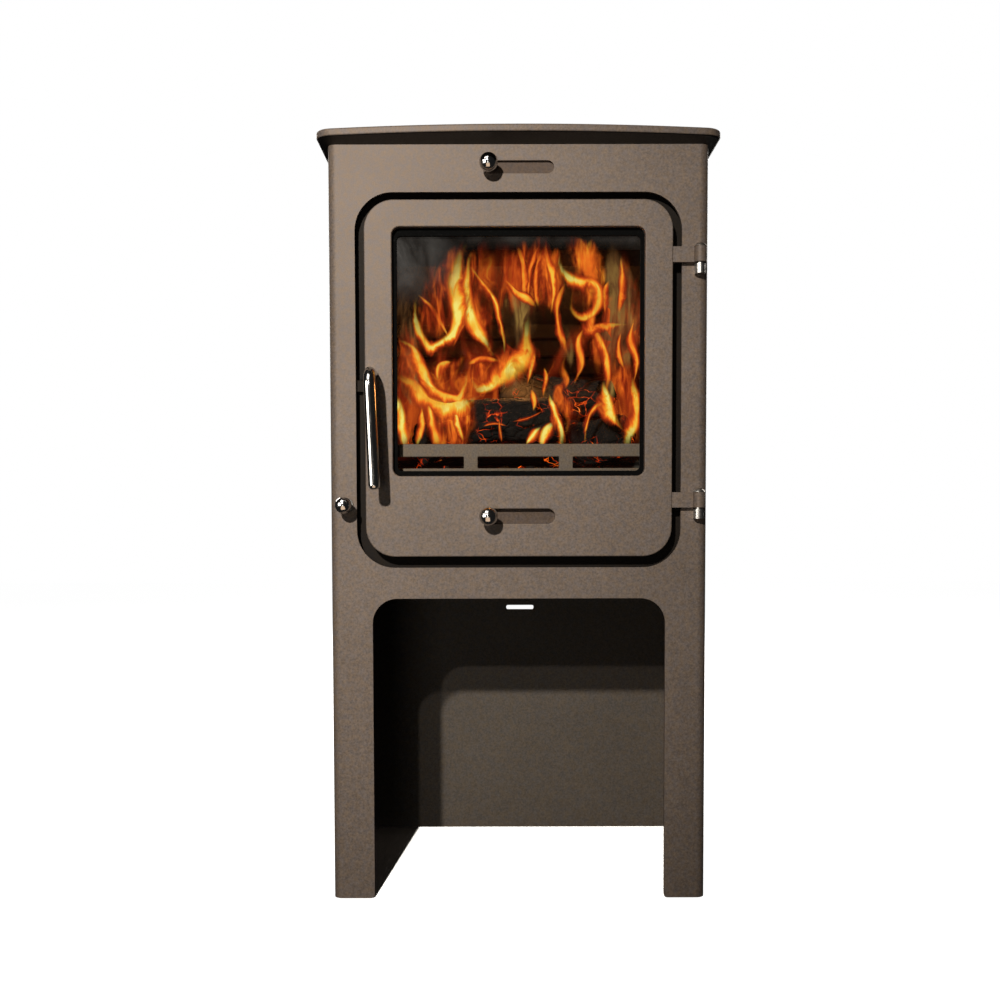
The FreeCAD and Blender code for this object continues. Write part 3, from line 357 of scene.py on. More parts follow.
def flame_tongues(name):
    """Flame ribbons: map ribbon runs across and along, and map burn holds the heat and the kind of flame.

    The kind is a thread, hot along a core left of its middle, a torn veil, or a smoky veil."""
    made = Finish(name)
    where = made.place((1, 1, 0.45))
    maps = [made.add("UVMap", {}, uv_map=flame_map).outputs["UV"] for flame_map in FLAME_MAPS]
    ribbon, burn = (made.split(flame_map) for flame_map in maps)
    hot = burn["X"]
    veil = made.maths("MINIMUM", burn["Y"], VEIL)
    smoky = made.maths("SUBTRACT", burn["Y"], VEIL, clamp=True)
    across = made.maths("SUBTRACT", made.maths("MULTIPLY", ribbon["X"], 2.0), 1.0)
    off_middle = made.maths("ABSOLUTE", across)
    lick = made.between(made.noise(where, 62, 4, 0.6, 0.9), 0.25, 0.75, -0.4, 0.4)
    streak = made.noise(made.place((1, 1, 0.2)), 85, 3, 0.6, 0.5)
    off_core = made.maths("ABSOLUTE", made.maths("ADD", made.maths("ADD", across, CORE_OFFSET), lick))
    core = made.maths("POWER", made.between(off_core, 0.66, 0.0, smooth=True), 1.4)
    flank = made.between(made.maths("ADD", off_middle, lick), 0.95, 0.0, 0.08, 0.5, smooth=True)
    thread = made.maths("ADD", flank, made.maths("MULTIPLY", core, 0.62), clamp=True)
    rim = made.maths("MULTIPLY", made.between(off_core, 0.5, 0.85, smooth=True),
                     made.between(off_middle, 1.0, 0.8, smooth=True))
    inside = made.between(streak, 0.32, 0.7, 0.06, 0.85, smooth=True)
    hollow = made.maths("MAXIMUM", made.maths("MULTIPLY", rim, 0.5), inside)
    shape = made.add("Mix", {0: veil, 2: thread, 3: hollow}).outputs[0]
    flicker = made.between(made.noise(made.place(), 34, 3, 0.5), 0.3, 0.66, 0.6, 1.12)
    heat = made.maths("MULTIPLY", made.maths("MULTIPLY", shape, hot), flicker, clamp=True)
    ends = made.maths("MULTIPLY", made.between(ribbon["Y"], 0.0, 0.3, smooth=True),
                      made.between(ribbon["Y"], 1.0, 0.66, smooth=True))
    edge = made.maths("ADD", made.maths("ADD", off_middle, lick), made.between(ends, 1.0, 0.0, 0.0, 0.55))
    border = made.between(edge, 1.0, 0.3, smooth=True)
    tears = made.between(made.noise(where, 26, 3, 0.5, 0.5), 0.33, 0.56, 0.1, 1.0, smooth=True)
    sheet = made.maths("MULTIPLY", made.between(streak, 0.26, 0.62, 0.2, 0.95), tears)
    body = made.add("Mix", {0: veil, 2: made.between(streak, 0.25, 0.5, 0.6, 1.0), 3: sheet}).outputs[0]
    cover = made.maths("MULTIPLY", body, made.maths("MULTIPLY", ends, border), clamp=True)
    return flame_light(made, heat, cover, smoky)


def flame_curtain(name, low, high, shift):
    """A standing sheet of fire: ridged streaks that rise, split and leave dark gaps."""
    made = Finish(name)
    where = made.place((1, 1, 0.42), shift)
    drift = made.add("TexNoise", {"Vector": where, "Scale": 11.0, "Detail": 3.0}).outputs["Color"]
    bent = made.mix(0.16, where, drift, "ADD")
    streams = made.noise(bent, 26, 5, 0.55, 0.7)
    ridge = made.maths("ABSOLUTE", made.maths("SUBTRACT", streams, 0.5))
    thread = made.between(ridge, 0.03, 0.0, smooth=True)
    glow = made.between(made.noise(bent, 13, 3, 0.5, 0.4), 0.5, 0.76, smooth=True)
    axes = made.split(made.place())
    up = made.between(axes["Z"], low.z, high.z)
    base = made.between(up, 0.0, 0.25, 0.25, 1.0, smooth=True)
    top = made.between(up, 1.0, 0.82, smooth=True)
    side = made.between(made.maths("ABSOLUTE", axes["X"]), high.x, high.x * 0.82, smooth=True)
    thread = made.maths("MULTIPLY", thread, made.between(glow, 0.0, 0.5, 0.1, 1.0))
    warm, hot = made.maths("MULTIPLY", glow, 0.42), made.maths("MULTIPLY", thread, 0.22)
    heat = made.maths("ADD", warm, hot, clamp=True)
    fade = made.maths("MULTIPLY", made.maths("MULTIPLY", base, top), side)
    cover = made.maths("MAXIMUM", made.maths("MULTIPLY", glow, 0.85), made.maths("MULTIPLY", thread, 0.5))
    return flame_light(made, heat, made.maths("MULTIPLY", cover, fade, clamp=True))


# ---------------------------------------------------------------- shapes

def piece(name, mesh_maker, finish, body):
    """A new smooth piece from a bmesh, with its finish and the body it rides on."""
    mesh = bpy.data.meshes.new(name)
    mesh_maker.to_mesh(mesh)
    mesh_maker.free()
    mesh.materials.append(finish)
    for face in mesh.polygons:
        face.use_smooth = True
    made = bpy.data.objects.new(name, mesh)
    bpy.context.scene.collection.objects.link(made)
    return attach(made, body)


def grid(mesh_maker, rows, closed=False, close_rows=False):
    """Faces between neighbouring rows of vertices.

    Closed joins the ends of each row, and close_rows joins the last row to the first."""
    faces = []
    row_pairs = list(zip(rows, rows[1:]))
    if close_rows:
        row_pairs.append((rows[-1], rows[0]))
    for lower, upper in row_pairs:
        count = len(lower)
        for step in range(count if closed else count - 1):
            after = (step + 1) % count
            faces.append(mesh_maker.faces.new((lower[step], lower[after], upper[after], upper[step])))
    return faces


def smooth_line(points, steps):
    """A Catmull-Rom curve through points of any dimension, with the given steps per stretch."""
    ends = [points[0], *points, points[-1]]
    line = []
    for index in range(len(points) - 1):
        before, start, end, after = (Vector(ends[index + offset]) for offset in range(4))
        for step in range(steps):
            share = step / steps
            slope_in = (end - before) * 0.5
            slope_out = (after - start) * 0.5
            turn = (1 + 2 * share) * (1 - share) ** 2
            line.append(start * turn + slope_in * share * (1 - share) ** 2
                        + end * share ** 2 * (3 - 2 * share) + slope_out * share ** 2 * (share - 1))
    line.append(Vector(points[-1]))
    return line


# ---------------------------------------------------------------- rope seal

ROPE_STRANDS = 4
ROPE_CORNER = 30 * MM
ROPE_LAY = 22 * MM
ROPE_STEP = 2.2 * MM
ROPE_SIDES = 9


def seal_path(low, high, radius, corner):
    """The rope's centre line, a rectangle with round corners: even points with their outward direction."""
    left, right = low.x + radius, high.x - radius
    bottom, top = low.z + radius, high.z - radius
    middle = (low.y + high.y) / 2
    runs = []
    corners = [(right - corner, top - corner, 0), (left + corner, top - corner, 90),
               (left + corner, bottom + corner, 180), (right - corner, bottom + corner, 270)]
    for x, z, start in corners:
        for turn in range(0, 91, 6):
            angle = math.radians(start + turn)
            outward = Vector((math.cos(angle), 0, math.sin(angle)))
            runs.append((Vector((x, middle, z)) + outward * corner, outward))
    spaced = []
    for (start, out_start), (end, out_end) in zip(runs, runs[1:] + runs[:1]):
        count = max(1, round((end - start).length / ROPE_STEP))
        for step in range(count):
            share = step / count
            spaced.append((start.lerp(end, share), out_start.lerp(out_end, share).normalized()))
    return spaced


def make_rope_seal(finish):
    """The rope between the door and the firebox: four yarns laid round each other along one loop."""
    low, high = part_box("door_rope_seal")
    radius = (high.y - low.y) / 2
    path = seal_path(low, high, radius, ROPE_CORNER)
    turns = round(len(path) * ROPE_STEP / ROPE_LAY)
    strand_radius = radius * 0.5
    reach = radius - strand_radius
    mesh_maker = bmesh.new()
    for strand in range(ROPE_STRANDS):
        rows = []
        for index, (centre, outward) in enumerate(path):
            phase = 2 * math.pi * (turns * index / len(path) + strand / ROPE_STRANDS)
            middle = centre + outward * math.cos(phase) * reach + Vector((0, math.sin(phase) * reach, 0))
            yarn = strand_radius * (0.97 - 0.05 * math.sin(index * 1.9))
            row = []
            for side in range(ROPE_SIDES):
                around = 2 * math.pi * side / ROPE_SIDES
                rim = outward * math.cos(around) + Vector((0, math.sin(around), 0))
                row.append(mesh_maker.verts.new(middle + rim * yarn))
            rows.append(row)
        grid(mesh_maker, rows, closed=True, close_rows=True)
    bmesh.ops.recalc_face_normals(mesh_maker, faces=mesh_maker.faces)
    rope = piece("rope_seal_laid", mesh_maker, finish, "door")
    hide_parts("door_rope_seal")


# ---------------------------------------------------------------- logs and embers

LOG_SIDES = 56
LOG_RINGS = 48
LOG_BEND = 4 * MM
LOG_SAG = 3 * MM
BROKEN_END = 6 * MM


def make_log(name, start, end, radius, seed, finish):
    """One burnt split log: a rough bar whose bark is checked across and split along, with broken ends."""
    start, end = Vector(start), Vector(end)
    along = (end - start).normalized()
    side = along.cross(Vector((0, 0, 1))).normalized()
    over = side.cross(along)
    mesh_maker = bmesh.new()
    rows = []
    for ring in range(LOG_RINGS + 1):
        share = ring / LOG_RINGS
        centre = start.lerp(end, share)
        centre += side * LOG_BEND * math.sin(3 * share + seed)
        centre += over * LOG_SAG * math.sin(5 * share + 2 * seed)
        end_round = min(1.0, (min(share, 1 - share) * LOG_RINGS / 2.5) ** 0.5) if 0 < share < 1 else 0.15
        row = []
        for step in range(LOG_SIDES):
            angle = 2 * math.pi * step / LOG_SIDES
            out = side * math.cos(angle) + over * math.sin(angle)
            lie = Vector((math.cos(angle) * 1.6, math.sin(angle) * 1.6, share * 3 + seed * 7))
            split = noise.noise(Vector((math.cos(angle) * 4, math.sin(angle) * 4, share * 1.5 + seed)))
            check = noise.noise(Vector((math.cos(angle) * 5, math.sin(angle) * 5, share * 17 + seed)))
            flat = 1 - 0.16 * max(0.0, math.cos(angle - seed)) ** 2
            size = radius * flat * (1 + 0.10 * noise.noise(lie) + 0.09 * split + 0.06 * check)
            broken = along * (BROKEN_END * noise.noise(lie * 3) if share in (0, 1) else 0)
            row.append(mesh_maker.verts.new(centre + out * size * end_round + broken))
        rows.append(row)
    grid(mesh_maker, rows, closed=True)
    mesh_maker.faces.new(rows[0][::-1])
    mesh_maker.faces.new(rows[-1])
    bmesh.ops.recalc_face_normals(mesh_maker, faces=mesh_maker.faces)
    return piece(name, mesh_maker, finish, "casing")


EMBER_GRID = (110, 90)
EMBER_SLOPE = 12


def make_embers(finish, low, high):
    """The bed of glowing lumps and ash on the grate."""
    columns, lines = EMBER_GRID
    mesh_maker = bmesh.new()
    floor = low.z
    tops = []
    for line in range(lines + 1):
        row = []
        for column in range(columns + 1):
            x = low.x + (high.x - low.x) * column / columns
            y = low.y + (high.y - low.y) * line / lines
            rim = min(column, columns - column, line, lines - line) / EMBER_SLOPE
            lump = noise.cell(Vector((x * 55, y * 55, 3))) * 0.25 + noise.turbulence(
                Vector((x * 60, y * 60, 0.7)), 3, False) * 0.6
            z = floor + (high.z - low.z) * min(1.0, rim) * min(1.0, lump)
            row.append(mesh_maker.verts.new((x, y, z)))
        tops.append(row)
    grid(mesh_maker, tops)
    skirt = list(tops[0])
    skirt += [row[-1] for row in tops[1:]]
    skirt += tops[-1][-2::-1]
    skirt += [row[0] for row in tops[-2:0:-1]]
    mesh_maker.faces.new(skirt[::-1])
    bmesh.ops.recalc_face_normals(mesh_maker, faces=mesh_maker.faces)
    return piece("ember_bed", mesh_maker, finish, "casing")


# ---------------------------------------------------------------- flames

GLASS_LOW, GLASS_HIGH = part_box("window_glass")
GUARD_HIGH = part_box("log_guard")[1]
# How far the window's tape covers the glass at its sides and at its top.
SIDE_LAP = 8.2 * MM
TOP_LAP = 11.8 * MM
# Where the camera stands; the flames are laid out as seen from there.
VIEWER = Vector((-21.2 * MM, -1410.8 * MM, 412.9 * MM))

# Each flame is a heat from 0 to 1 and the points of its middle line as (across, up, width), all as shares
# of the window: across from its left to its right, up from the guard to its top, and its width.
NEAR_THREADS = (
    (0.95, ((0.00, 0.50, 0.03), (0.06, 0.46, 0.03), (0.095, 0.37, 0.05), (0.13, 0.28, 0.05),
            (0.17, 0.235, 0.05), (0.25, 0.215, 0.04), (0.28, 0.28, 0.04), (0.285, 0.36, 0.015))),
    (1.00, ((-0.01, 0.33, 0.04), (0.06, 0.28, 0.06), (0.11, 0.215, 0.07), (0.165, 0.175, 0.10),
            (0.24, 0.165, 0.13), (0.30, 0.19, 0.08), (0.34, 0.235, 0.02))),
    (1.00, ((-0.01, 0.24, 0.05), (0.01, 0.12, 0.05), (0.03, -0.03, 0.04))),
    (0.80, ((0.10, 0.20, 0.01), (0.097, 0.09, 0.03), (0.08, -0.02, 0.02))),
    (0.95, ((0.12, 0.20, 0.02), (0.14, 0.10, 0.05), (0.17, -0.03, 0.05))),
    (1.00, ((0.235, 0.16, 0.02), (0.25, 0.08, 0.03), (0.27, 0.00, 0.02))),
    (1.00, ((0.625, 0.24, 0.01), (0.64, 0.17, 0.03), (0.665, 0.09, 0.04), (0.68, -0.03, 0.03))),
    (0.95, ((0.59, -0.02, 0.02), (0.61, 0.04, 0.05), (0.645, 0.10, 0.02))),
    (0.90, ((0.53, -0.01, 0.01), (0.56, 0.03, 0.03), (0.59, 0.08, 0.02))),
    (1.00, ((0.85, 0.30, 0.02), (0.855, 0.21, 0.06), (0.885, 0.12, 0.05), (0.94, 0.05, 0.01))),
    (0.85, ((0.87, 0.21, 0.02), (0.81, 0.165, 0.025), (0.78, 0.09, 0.02), (0.77, -0.01, 0.02))),
    (1.00, ((0.965, 0.32, 0.02), (0.985, 0.19, 0.04), (0.975, 0.09, 0.05), (0.94, -0.03, 0.05))),
    (0.60, ((0.42, 0.12, 0.01), (0.425, 0.05, 0.014), (0.43, 0.00, 0.01))),
    (0.50, ((0.35, 0.085, 0.01), (0.40, 0.095, 0.014), (0.46, 0.085, 0.01))),
    (0.45, ((0.47, 0.10, 0.01), (0.54, 0.12, 0.014), (0.60, 0.16, 0.01))),
    (0.85, ((0.555, 0.26, 0.01), (0.565, 0.21, 0.025), (0.56, 0.15, 0.01))),
)
NEAR_VEILS = (
    (0.78, ((0.17, -0.05, 0.16), (0.21, 0.05, 0.24), (0.27, 0.14, 0.18), (0.31, 0.22, 0.05))),
    (0.60, ((0.02, 0.08, 0.08), (0.04, 0.25, 0.11), (0.05, 0.42, 0.12), (0.02, 0.62, 0.06))),
    (0.80, ((0.70, 0.44, 0.02), (0.68, 0.37, 0.05), (0.695, 0.30, 0.05), (0.665, 0.235, 0.08),
            (0.70, 0.17, 0.11), (0.71, 0.10, 0.08), (0.69, 0.02, 0.03))),
    (0.60, ((0.94, 0.02, 0.10), (0.96, 0.18, 0.12), (0.93, 0.32, 0.10), (0.95, 0.45, 0.04))),
)
NEAR_SMOKE = (
    (0.80, ((0.03, 0.50, 0.05), (0.06, 0.38, 0.12), (0.09, 0.26, 0.14), (0.16, 0.16, 0.14),
            (0.20, 0.00, 0.12))),
    (0.90, ((0.00, 0.18, 0.06), (0.02, 0.08, 0.06), (0.04, -0.03, 0.06))),
    (0.75, ((0.86, 0.32, 0.06), (0.87, 0.24, 0.08), (0.89, 0.16, 0.03))),
)
MIDDLE_THREADS = (
    (1.00, ((0.08, 0.71, 0.015), (0.075, 0.62, 0.03), (0.095, 0.52, 0.04), (0.135, 0.455, 0.045),
            (0.20, 0.49, 0.04), (0.245, 0.55, 0.05), (0.255, 0.65, 0.075), (0.25, 0.78, 0.10),
            (0.265, 0.88, 0.08), (0.29, 0.97, 0.03))),
    (0.98, ((0.305, 0.93, 0.02), (0.285, 0.80, 0.045), (0.288, 0.66, 0.06), (0.315, 0.57, 0.055),
            (0.36, 0.49, 0.045), (0.40, 0.41, 0.015))),
    (0.80, ((0.30, 0.86, 0.01), (0.345, 0.78, 0.025), (0.395, 0.70, 0.03), (0.42, 0.61, 0.025),
            (0.435, 0.51, 0.02), (0.45, 0.41, 0.01))),
    (0.75, ((0.44, 0.79, 0.01), (0.485, 0.725, 0.03), (0.535, 0.695, 0.04), (0.575, 0.655, 0.01))),
    (1.00, ((0.54, 0.62, 0.02), (0.53, 0.51, 0.05), (0.52, 0.425, 0.11), (0.46, 0.37, 0.13),
            (0.41, 0.315, 0.09), (0.375, 0.275, 0.06), (0.33, 0.265, 0.05), (0.30, 0.33, 0.015))),
    (0.90, ((0.565, 0.45, 0.01), (0.552, 0.37, 0.03), (0.53, 0.27, 0.02))),
    (0.75, ((0.60, 0.37, 0.01), (0.61, 0.30, 0.025), (0.60, 0.22, 0.01))),
    (0.70, ((0.085, 0.72, 0.01), (0.14, 0.66, 0.015), (0.18, 0.58, 0.015), (0.22, 0.49, 0.01))),
    (0.85, ((0.17, 0.30, 0.02), (0.18, 0.37, 0.04), (0.235, 0.395, 0.01))),
    (0.70, ((0.29, 0.385, 0.01), (0.35, 0.405, 0.03), (0.43, 0.395, 0.01))),
    (0.60, ((0.23, 0.46, 0.01), (0.26, 0.55, 0.02), (0.30, 0.62, 0.01))),
)
MIDDLE_VEILS = (
    (0.66, ((0.17, 0.46, 0.08), (0.165, 0.58, 0.18), (0.19, 0.72, 0.20), (0.23, 0.86, 0.16),
            (0.28, 0.98, 0.06))),
    (0.60, ((0.39, 0.42, 0.03), (0.355, 0.54, 0.12), (0.335, 0.68, 0.15), (0.34, 0.84, 0.18),
            (0.38, 0.99, 0.14))),
    (0.52, ((0.47, 0.60, 0.08), (0.46, 0.70, 0.16), (0.43, 0.82, 0.20), (0.45, 0.98, 0.16))),
    (0.74, ((0.21, 0.20, 0.16), (0.19, 0.29, 0.15), (0.225, 0.37, 0.09), (0.28, 0.42, 0.03))),
    (0.62, ((0.36, 0.27, 0.08), (0.34, 0.36, 0.06), (0.29, 0.45, 0.03))),
)
MIDDLE_SMOKE = (
    (0.75, ((0.47, 0.76, 0.06), (0.49, 0.66, 0.18), (0.50, 0.54, 0.17), (0.51, 0.42, 0.10))),
    (0.55, ((0.02, 0.75, 0.06), (0.03, 0.60, 0.10), (0.05, 0.45, 0.10), (0.05, 0.30, 0.06))),
)
FAR_THREADS = (
    (0.97, ((0.655, 0.95, 0.02), (0.68, 0.83, 0.045), (0.735, 0.775, 0.06), (0.81, 0.76, 0.055),
            (0.825, 0.70, 0.05), (0.81, 0.645, 0.05), (0.765, 0.605, 0.045), (0.72, 0.65, 0.035),
            (0.725, 0.74, 0.015))),
    (0.80, ((0.83, 0.68, 0.02), (0.80, 0.60, 0.05), (0.79, 0.54, 0.05), (0.85, 0.565, 0.04),
            (0.96, 0.575, 0.02))),
    (0.75, ((0.80, 0.58, 0.02), (0.83, 0.50, 0.04), (0.86, 0.40, 0.035), (0.87, 0.30, 0.02),
            (0.855, 0.22, 0.01))),
    (0.70, ((0.77, 0.56, 0.02), (0.745, 0.48, 0.025), (0.755, 0.38, 0.03), (0.73, 0.27, 0.01))),
    (0.70, ((0.70, 0.78, 0.02), (0.66, 0.70, 0.03), (0.655, 0.60, 0.03), (0.68, 0.50, 0.03),
            (0.70, 0.41, 0.015))),
    (0.70, ((0.545, 0.70, 0.01), (0.545, 0.82, 0.03), (0.585, 0.96, 0.02))),
    (0.66, ((0.585, 0.66, 0.01), (0.57, 0.78, 0.03), (0.60, 0.94, 0.02))),
    (0.72, ((0.63, 0.62, 0.01), (0.65, 0.74, 0.03), (0.63, 0.86, 0.03), (0.605, 0.96, 0.02))),
    (0.72, ((0.52, 0.70, 0.01), (0.525, 0.82, 0.025), (0.50, 0.95, 0.02))),
    (0.60, ((0.91, 0.62, 0.01), (0.93, 0.74, 0.03), (0.92, 0.90, 0.02))),
    (0.65, ((0.86, 0.62, 0.01), (0.855, 0.72, 0.03), (0.88, 0.80, 0.01))),
    (0.70, ((0.98, 0.62, 0.01), (0.96, 0.50, 0.03), (0.985, 0.38, 0.03), (0.97, 0.27, 0.01))),
    (0.60, ((0.92, 0.55, 0.01), (0.91, 0.44, 0.02), (0.94, 0.34, 0.01))),
)
FAR_VEILS = (
    (0.74, ((0.77, 0.56, 0.05), (0.765, 0.68, 0.14), (0.79, 0.80, 0.18), (0.76, 0.92, 0.16),
            (0.70, 1.00, 0.08))),
    (0.62, ((0.66, 0.60, 0.04), (0.63, 0.74, 0.14), (0.60, 0.88, 0.18), (0.58, 1.00, 0.12))),
    (0.50, ((0.86, 0.24, 0.08), (0.87, 0.40, 0.22), (0.91, 0.56, 0.24), (0.93, 0.72, 0.18),
            (0.92, 0.97, 0.12))),
    (0.50, ((0.53, 0.98, 0.12), (0.50, 0.80, 0.16), (0.51, 0.62, 0.08))),
)
FAR_SMOKE = (
    (0.50, ((0.90, 0.30, 0.10), (0.90, 0.46, 0.20), (0.93, 0.66, 0.16), (0.90, 0.84, 0.14),
            (0.88, 0.99, 0.12))),
    (0.60, ((0.80, 0.58, 0.05), (0.86, 0.52, 0.12), (0.93, 0.42, 0.14), (0.95, 0.30, 0.08))),
    (0.55, ((0.69, 0.62, 0.04), (0.69, 0.52, 0.08), (0.71, 0.42, 0.07), (0.72, 0.34, 0.03))),
)

RIBBON_COLUMNS = 8
RIBBON_STEPS = 9
RIBBON_BOW = 6 * MM
RIBBON_SWAY = 6 * MM
RIBBON_WAVE = 2.2 * MM
# Half widths of a veil and of a thread, for one unit of width in the lists.
VEIL_HALF = 0.5
THREAD_HALF = 0.78
# How far behind the threads the veils and the smoke hang, and the step from one ribbon to the next.
VEIL_BACK = 9 * MM
SMOKE_BACK = 11 * MM
RIBBON_GAP = 2.6 * MM


def window_point(across, up, depth):
    """A point of the window, pushed back into the firebox along the line of sight from the camera."""
    left, right = GLASS_LOW.x + SIDE_LAP, GLASS_HIGH.x - SIDE_LAP
    bottom, top = GUARD_HIGH.z, GLASS_HIGH.z - TOP_LAP
    on_glass = Vector((left + (right - left) * across, GLASS_LOW.y, bottom + (top - bottom) * up))
    return on_glass + (on_glass - VIEWER) * depth / (GLASS_LOW.y - VIEWER.y)


def add_ribbon(mesh_maker, layers, points, depth, heat, kind, seed):
    """One flame: a ribbon along its middle line, bowed towards the front, that sways in depth."""
    ribbon_map, burn_map = layers
    line = smooth_line(points, RIBBON_STEPS)
    width_scale = GLASS_HIGH.x - GLASS_LOW.x - 2 * SIDE_LAP
    middles = [window_point(across, up, depth) for across, up, _ in line]
    rows = []
    for index, (middle, (_, _, width)) in enumerate(zip(middles, line)):
        before = middles[max(0, index - 1)]
        after = middles[min(len(middles) - 1, index + 1)]
        along = (after - before).normalized()
        across = Vector((along.z, 0, -along.x))
        half = width * width_scale * (VEIL_HALF if kind else THREAD_HALF)
        sway = RIBBON_SWAY * noise.noise(Vector((seed, middle.z * 22, middle.x * 9)))
        row = []
        for column in range(RIBBON_COLUMNS + 1):
            share = 2 * column / RIBBON_COLUMNS - 1
            bow = Vector((0, sway - min(half * 0.45, RIBBON_BOW) * (1 - share * share), 0))
            wave = RIBBON_WAVE * noise.noise(Vector((seed + 5, middle.z * 60, share)))
            row.append(mesh_maker.verts.new(middle + across * (half * share + wave) + bow))
        rows.append(row)
    last = len(rows) - 1
    places = {vertex: (column / RIBBON_COLUMNS, index / last)
              for index, row in enumerate(rows) for column, vertex in enumerate(row)}
    for face in grid(mesh_maker, rows):
        for loop in face.loops:
            loop[ribbon_map].uv = places[loop.vert]
            loop[burn_map].uv = (heat, kind)


def make_flames(name, depth, threads, veils, smoke, finish):
    """All the flames of one layer, at the given depth behind the guard, as one piece."""
    mesh_maker = bmesh.new()
    for map_name in FLAME_MAPS:
        mesh_maker.loops.layers.uv.new(map_name)
    layers = [mesh_maker.loops.layers.uv[map_name] for map_name in FLAME_MAPS]
    kinds = ((SMOKY, smoke, SMOKE_BACK), (VEIL, veils, VEIL_BACK), (THREAD, threads, 0.0))
    for kind, flames, back in kinds:
        for count, (heat, points) in enumerate(flames):
            place = depth + back + (count % 4) * RIBBON_GAP
            add_ribbon(mesh_maker, layers, points, place, heat, kind, count * 3.7 + depth * 100 + kind)
    piece(name, mesh_maker, finish, "casing")


CURTAIN_GRID = (60, 48)
CURTAIN_WAVE = 12 * MM


def make_curtain(name, y, low, high, seed, finish):
    """A wavy standing sheet across the firebox."""
    columns, lines = CURTAIN_GRID
    mesh_maker = bmesh.new()
    rows = []
    for line in range(lines + 1):
        z = low.z + (high.z - low.z) * line / lines
        row = []
        for column in range(columns + 1):
            x = low.x + (high.x - low.x) * column / columns
            wave = noise.noise(Vector((x * 13, z * 7, seed)))
            row.append(mesh_maker.verts.new((x, y + CURTAIN_WAVE * wave, z)))
        rows.append(row)
    grid(mesh_maker, rows)
    piece(name, mesh_maker, finish, "casing")


# ---------------------------------------------------------------- putting it together

PAINT = (0.285, 0.228, 0.188)
# Darker paint for the log store's back panel on its face inside the store: painted shade in the store.
STORE_BACK_SHADE_PAINT = (0.125, 0.104, 0.083)
# Darker paint for the log guard behind the glass: painted shade.
GUARD_SHADE_PAINT = (0.235, 0.20, 0.165)
# Darker paint for the air sliders, which are seen only down their slots: painted shade in the slots.
SLIDER_SHADE_PAINT = (0.16, 0.12, 0.095)
# Near black paint: soot on the firebox's inner parts, and painted shade on parts seen down the door gap
# and on the log store's roof.
SOOT_AND_SHADE_PAINT = (0.024, 0.019, 0.015)
# Near black for the top plate's underside: painted shade under the overhang.
UNDERSIDE_SHADE = (0.006, 0.005, 0.004)


def finish_cad_nodes():
    """Gives every CAD node the procedural finish of its slot; a few nodes have one of their own, most of
    them darker paints that stand in for shade: painted shade under the top plate, inside the log store,
    behind the door gap, on the sliders in their slots and on the guard behind the glass.
    """
    paint = heatproof_paint("stove_paint_speckled", PAINT)
    # Soot on the airwash duct and the grate support; painted shade on the firebox front and latch parts
    # behind the door gap and on the log store's roof.
    soot_and_shade_black = heatproof_paint("stove_paint_sooted_and_shaded", SOOT_AND_SHADE_PAINT, 0.15)
    # The top plate's paint, with painted shade on the faces that look down.
    shade_below = heatproof_paint("stove_paint_painted_shade_below", PAINT, 0.5, ("Z", -1, UNDERSIDE_SHADE))
    # The air sliders' paint, darker as painted shade in their slots.
    rubbed = heatproof_paint("stove_paint_shaded_sliders", SLIDER_SHADE_PAINT, 0.2)
    by_slot = {
        "stove_paint": paint,
        "bare_steel": bare_steel("bare_steel_heat_dulled"),
        "black_fastener": black_oxide("black_oxide_rubbed"),
        "chrome": dark_chrome("dark_chrome"),
        "cast_grate": cast_iron("cast_iron_ashy"),
        "firebrick": firebrick("firebrick_sooty", 0.45),
        "fibre_rope": fibre_rope("black_fibre_woven"),
        "window_glass": window_glass("ceramic_glass_sooted", GLASS_LOW, GLASS_HIGH),
    }
    by_node = {
        "rear_firebrick": coursed_firebrick("rear_firebrick_coursed"),
        "baffle_plate": firebrick("baffle_sooty", 0.85),
        # Painted shade on the plate's underside.
        "top_plate": shade_below,
        # The log guard's paint, darker as painted shade behind the glass.
        "log_guard": heatproof_paint("stove_paint_guard_shaded", GUARD_SHADE_PAINT),
        "firebox_front": soot_and_shade_black,
        # Painted shade on the back panel's face inside the log store; its face to the back keeps the plain
        # paint.
        "log_store_back": heatproof_paint("stove_paint_store_back_shaded", STORE_BACK_SHADE_PAINT, 0.5, ("Y", 1, PAINT)),
        "log_store_roof": soot_and_shade_black,
        "latch_keeper": soot_and_shade_black,
        "latch_cam": soot_and_shade_black,
        # Painted shade on the sliders down their slots.
        "upper_air_slider": rubbed,
        "lower_air_slider": rubbed,
        "airwash_duct": soot_and_shade_black,
        "grate_support": soot_and_shade_black,
    }
    for part in frame["record"]["subparts"]:
        made = by_node.get(part["node"], by_slot[part["material_slot"]])
        for place in frame["nodes"][part["node"]].material_slots:
            place.material = made
    return by_slot


# Each log: its name, its two ends in mm from the middle of the grate's front edge, and its radius in mm.
LOGS = (
    ("front_log", (-62, 46, 62), (52, 60, 74), 25),
    ("left_log", (-118, 62, 46), (-34, 120, 62), 24),
    ("right_log", (38, 120, 38), (124, 46, 52), 26),
    ("rear_log", (-96, 150, 72), (88, 138, 66), 27),
    ("top_log", (-20, 120, 112), (112, 92, 96), 22),
)
NEAR_DEPTH = 30 * MM
MIDDLE_DEPTH = 46 * MM
FAR_DEPTH = 64 * MM
EMBER_HEIGHT = 30 * MM
EMBER_SIDE_GAP = 22 * MM
EMBER_FRONT_GAP = 10 * MM
EMBER_BACK_GAP = 12 * MM
CURTAIN_SIDE_GAP = 8 * MM
CURTAIN_TOP_GAP = 6 * MM


